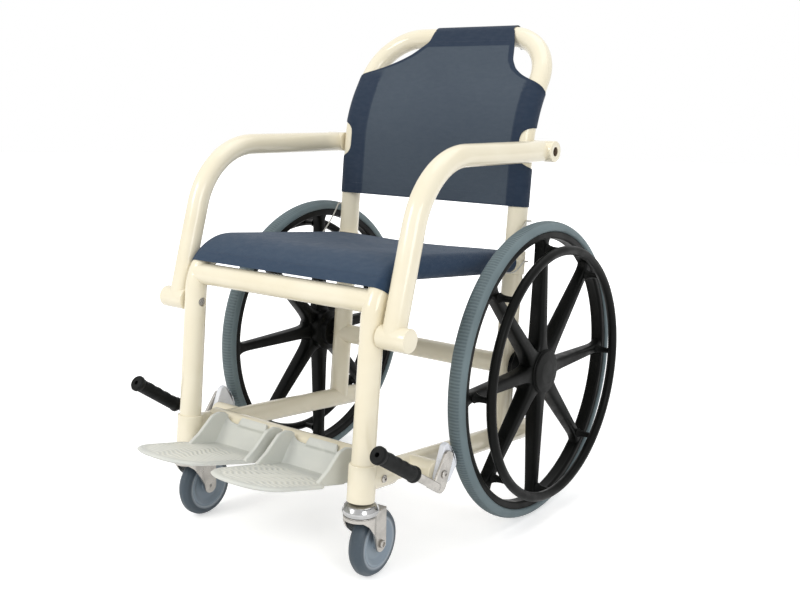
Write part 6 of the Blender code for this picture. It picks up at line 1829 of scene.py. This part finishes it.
    def hem_screw(self) -> None:
        """Small domed screw beside the neck of the back cloth, where the CAD has it."""
        low, high = (np.array(corner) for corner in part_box("hem_screw"))
        lay = self.layout
        tip, foot = lay.point(lay.hoop_corners[2]), lay.point(lay.hoop_corners[1])
        rise = unit(tip - foot)
        front = -np.cross(X_AXIS, rise)
        turn = math.asin((self.screw_x - lay.post_x + lay.hoop_corner) / lay.hoop_corner)
        inward = np.array([-math.sin(turn), 0.0, 0.0]) - rise * math.cos(turn)
        away = unit(front + inward)
        start = (low + high) / 2.0 - away * self.screw_sunk
        show(Shell().add(turned(self.screw, start, away, 28)), "hem_screw", STAINLESS, "frame", "stainless")


@dataclass(frozen=True)
class SoftBox:
    """A square lamp: where it stands, its power in watts, its side and its tint."""

    name: str
    place: tuple[float, float, float]
    power: float
    size: float
    tint: tuple[float, float, float]


@dataclass
class Studio:
    """Camera, lights, floor and sky."""

    eye: tuple[float, float, float] = (1.2770, -1.594627, 0.8395)
    azimuth: float = math.radians(36.85)
    elevation: float = math.radians(11.08)
    roll: float = math.radians(0.99)
    lens: float = 45.67
    sensor: float = 36.0
    lit_point: tuple[float, float, float] = (0.0, 0.0, 0.5)
    lamps: tuple[SoftBox, ...] = (SoftBox("key_box", (-0.9, -2.6, 2.2), 35.0, 1.1, (1.0, 0.985, 0.955)),
                                  SoftBox("fill_box", (2.7, -1.4, 1.6), 22.0, 1.2, (0.97, 0.985, 1.0)),
                                  SoftBox("top_box", (0.4, 0.6, 2.9), 14.0, 1.8, (1.0, 1.0, 1.0)))
    sky_light: float = 0.77
    floor_radius: float = 14.0
    floor_sides: int = 64
    floor_grey: float = 0.86
    glow_reach: tuple[float, float] = (1.0, 3.0)
    glow: tuple[float, float] = (0.47, 1.0)

    def build(self) -> None:
        """Build the whole studio."""
        self.camera()
        for box in self.lamps:
            self.lamp(box)
        self.sky()
        self.floor()

    @staticmethod
    def stand(item: bpy.types.Object, place: Sequence[float], *axes: np.ndarray) -> None:
        """Put an item in the scene at a place, its own axes along three directions."""
        bpy.context.scene.collection.objects.link(item)
        rows = [(*row, where) for row, where in zip(np.column_stack(axes).tolist(), place)]
        item.matrix_world = Matrix([*rows, (0, 0, 0, 1)])

    def camera(self) -> None:
        """Camera at the photograph's place: right, up and back directions from three angles."""
        a, e = self.azimuth, self.elevation
        ahead = np.array([-math.sin(a) * math.cos(e), math.cos(a) * math.cos(e), -math.sin(e)])
        level = np.array([math.cos(a), math.sin(a), 0.0])
        up = np.cross(level, ahead)
        right = level * math.cos(self.roll) + up * math.sin(self.roll)
        lifted = up * math.cos(self.roll) - level * math.sin(self.roll)
        data = bpy.data.cameras.new("photo_camera")
        data.lens, data.sensor_width, data.clip_start = self.lens, self.sensor, 0.05
        item = bpy.data.objects.new("photo_camera", data)
        self.stand(item, self.eye, right, lifted, -ahead)
        bpy.context.scene.camera = item

    def lamp(self, box: SoftBox) -> None:
        """A soft box that looks at the middle of the chair."""
        data = bpy.data.lights.new(box.name, "AREA")
        data.energy, data.size, data.color = box.power, box.size, box.tint
        away = unit(np.array(box.place) - self.lit_point)
        side = unit(np.cross(Z_AXIS, away))
        self.stand(bpy.data.objects.new(box.name, data), box.place, side, np.cross(away, side), away)

    def sky(self) -> None:
        """Even light from all round, and a white view of it for the camera and reflections."""
        world = bpy.data.worlds.new("studio_sky")
        bpy.context.scene.world = world
        world.use_nodes = True
        tree = world.node_tree
        strength = tree.nodes.new("ShaderNodeMapRange")
        tree.links.new(self.seen(tree), strength.inputs[0])
        strength.inputs[3].default_value = self.sky_light
        strength.inputs[4].default_value = 1.0
        background = tree.nodes["Background"]
        background.inputs[0].default_value = (1.0, 1.0, 1.0, 1.0)
        tree.links.new(strength.outputs[0], background.inputs[1])

    @staticmethod
    def seen(tree: bpy.types.NodeTree) -> bpy.types.NodeSocket:
        """One where the camera, a reflection or a clear piece looks, or else nought."""
        path = tree.nodes.new("ShaderNodeLightPath")
        found = path.outputs["Is Camera Ray"]
        for ray in ("Is Glossy Ray", "Is Transmission Ray"):
            larger = tree.nodes.new("ShaderNodeMath")
            larger.operation = "MAXIMUM"
            tree.links.new(found, larger.inputs[0])
            tree.links.new(path.outputs[ray], larger.inputs[1])
            found = larger.outputs[0]
        return found

    def floor(self) -> None:
        """Pale floor: a large flat disc that keeps the chair's shadow and glows white far out."""
        sides = self.floor_sides
        points = np.column_stack([circle(sides) * self.floor_radius, np.zeros(sides)])
        mesh = bpy.data.meshes.new("floor")
        mesh.from_pydata(points.tolist(), [], [list(range(sides))])
        item = bpy.data.objects.new("floor", mesh)
        bpy.context.scene.collection.objects.link(item)
        graph = Graph("floor_white")
        away = graph.add("VectorMath", {0: graph.coordinates()}, operation="LENGTH").outputs["Value"]
        strength = graph.ranged(away, *self.glow_reach, *self.glow)
        glow = graph.add("Emission", {"Color": (1.0, 1.0, 1.0, 1.0), "Strength": strength})
        graph.finish(Base_Color=(*[self.floor_grey] * 3, 1.0), Roughness=0.9, Specular_IOR_Level=0.1)
        plain = graph.shader.outputs[0]
        both = graph.add("AddShader", {0: plain, 1: glow.outputs[0]})
        mix = graph.add("MixShader", {0: self.seen(graph.tree), 1: plain, 2: both.outputs[0]})
        graph.feed(graph.tree.nodes["Material Output"], {0: mix.outputs[0]})
        mesh.materials.append(graph.material)


def main() -> None:
    """Build the studio and every sub-assembly in order."""
    logging.basicConfig(level=logging.INFO, format="%(message)s")
    bpy.context.scene.view_settings.view_transform = "Standard"
    layout = Layout()
    Studio().build()
    for kind in (CordsAndMetal, TubeFrame, Armrests, RearWheels, Casters, Footrests, Brakes, SeatSling,
                 BackSling):
        LOG.info("building %s", kind.__name__)
        kind(layout).build()


if __name__ == "__main__":
    main()
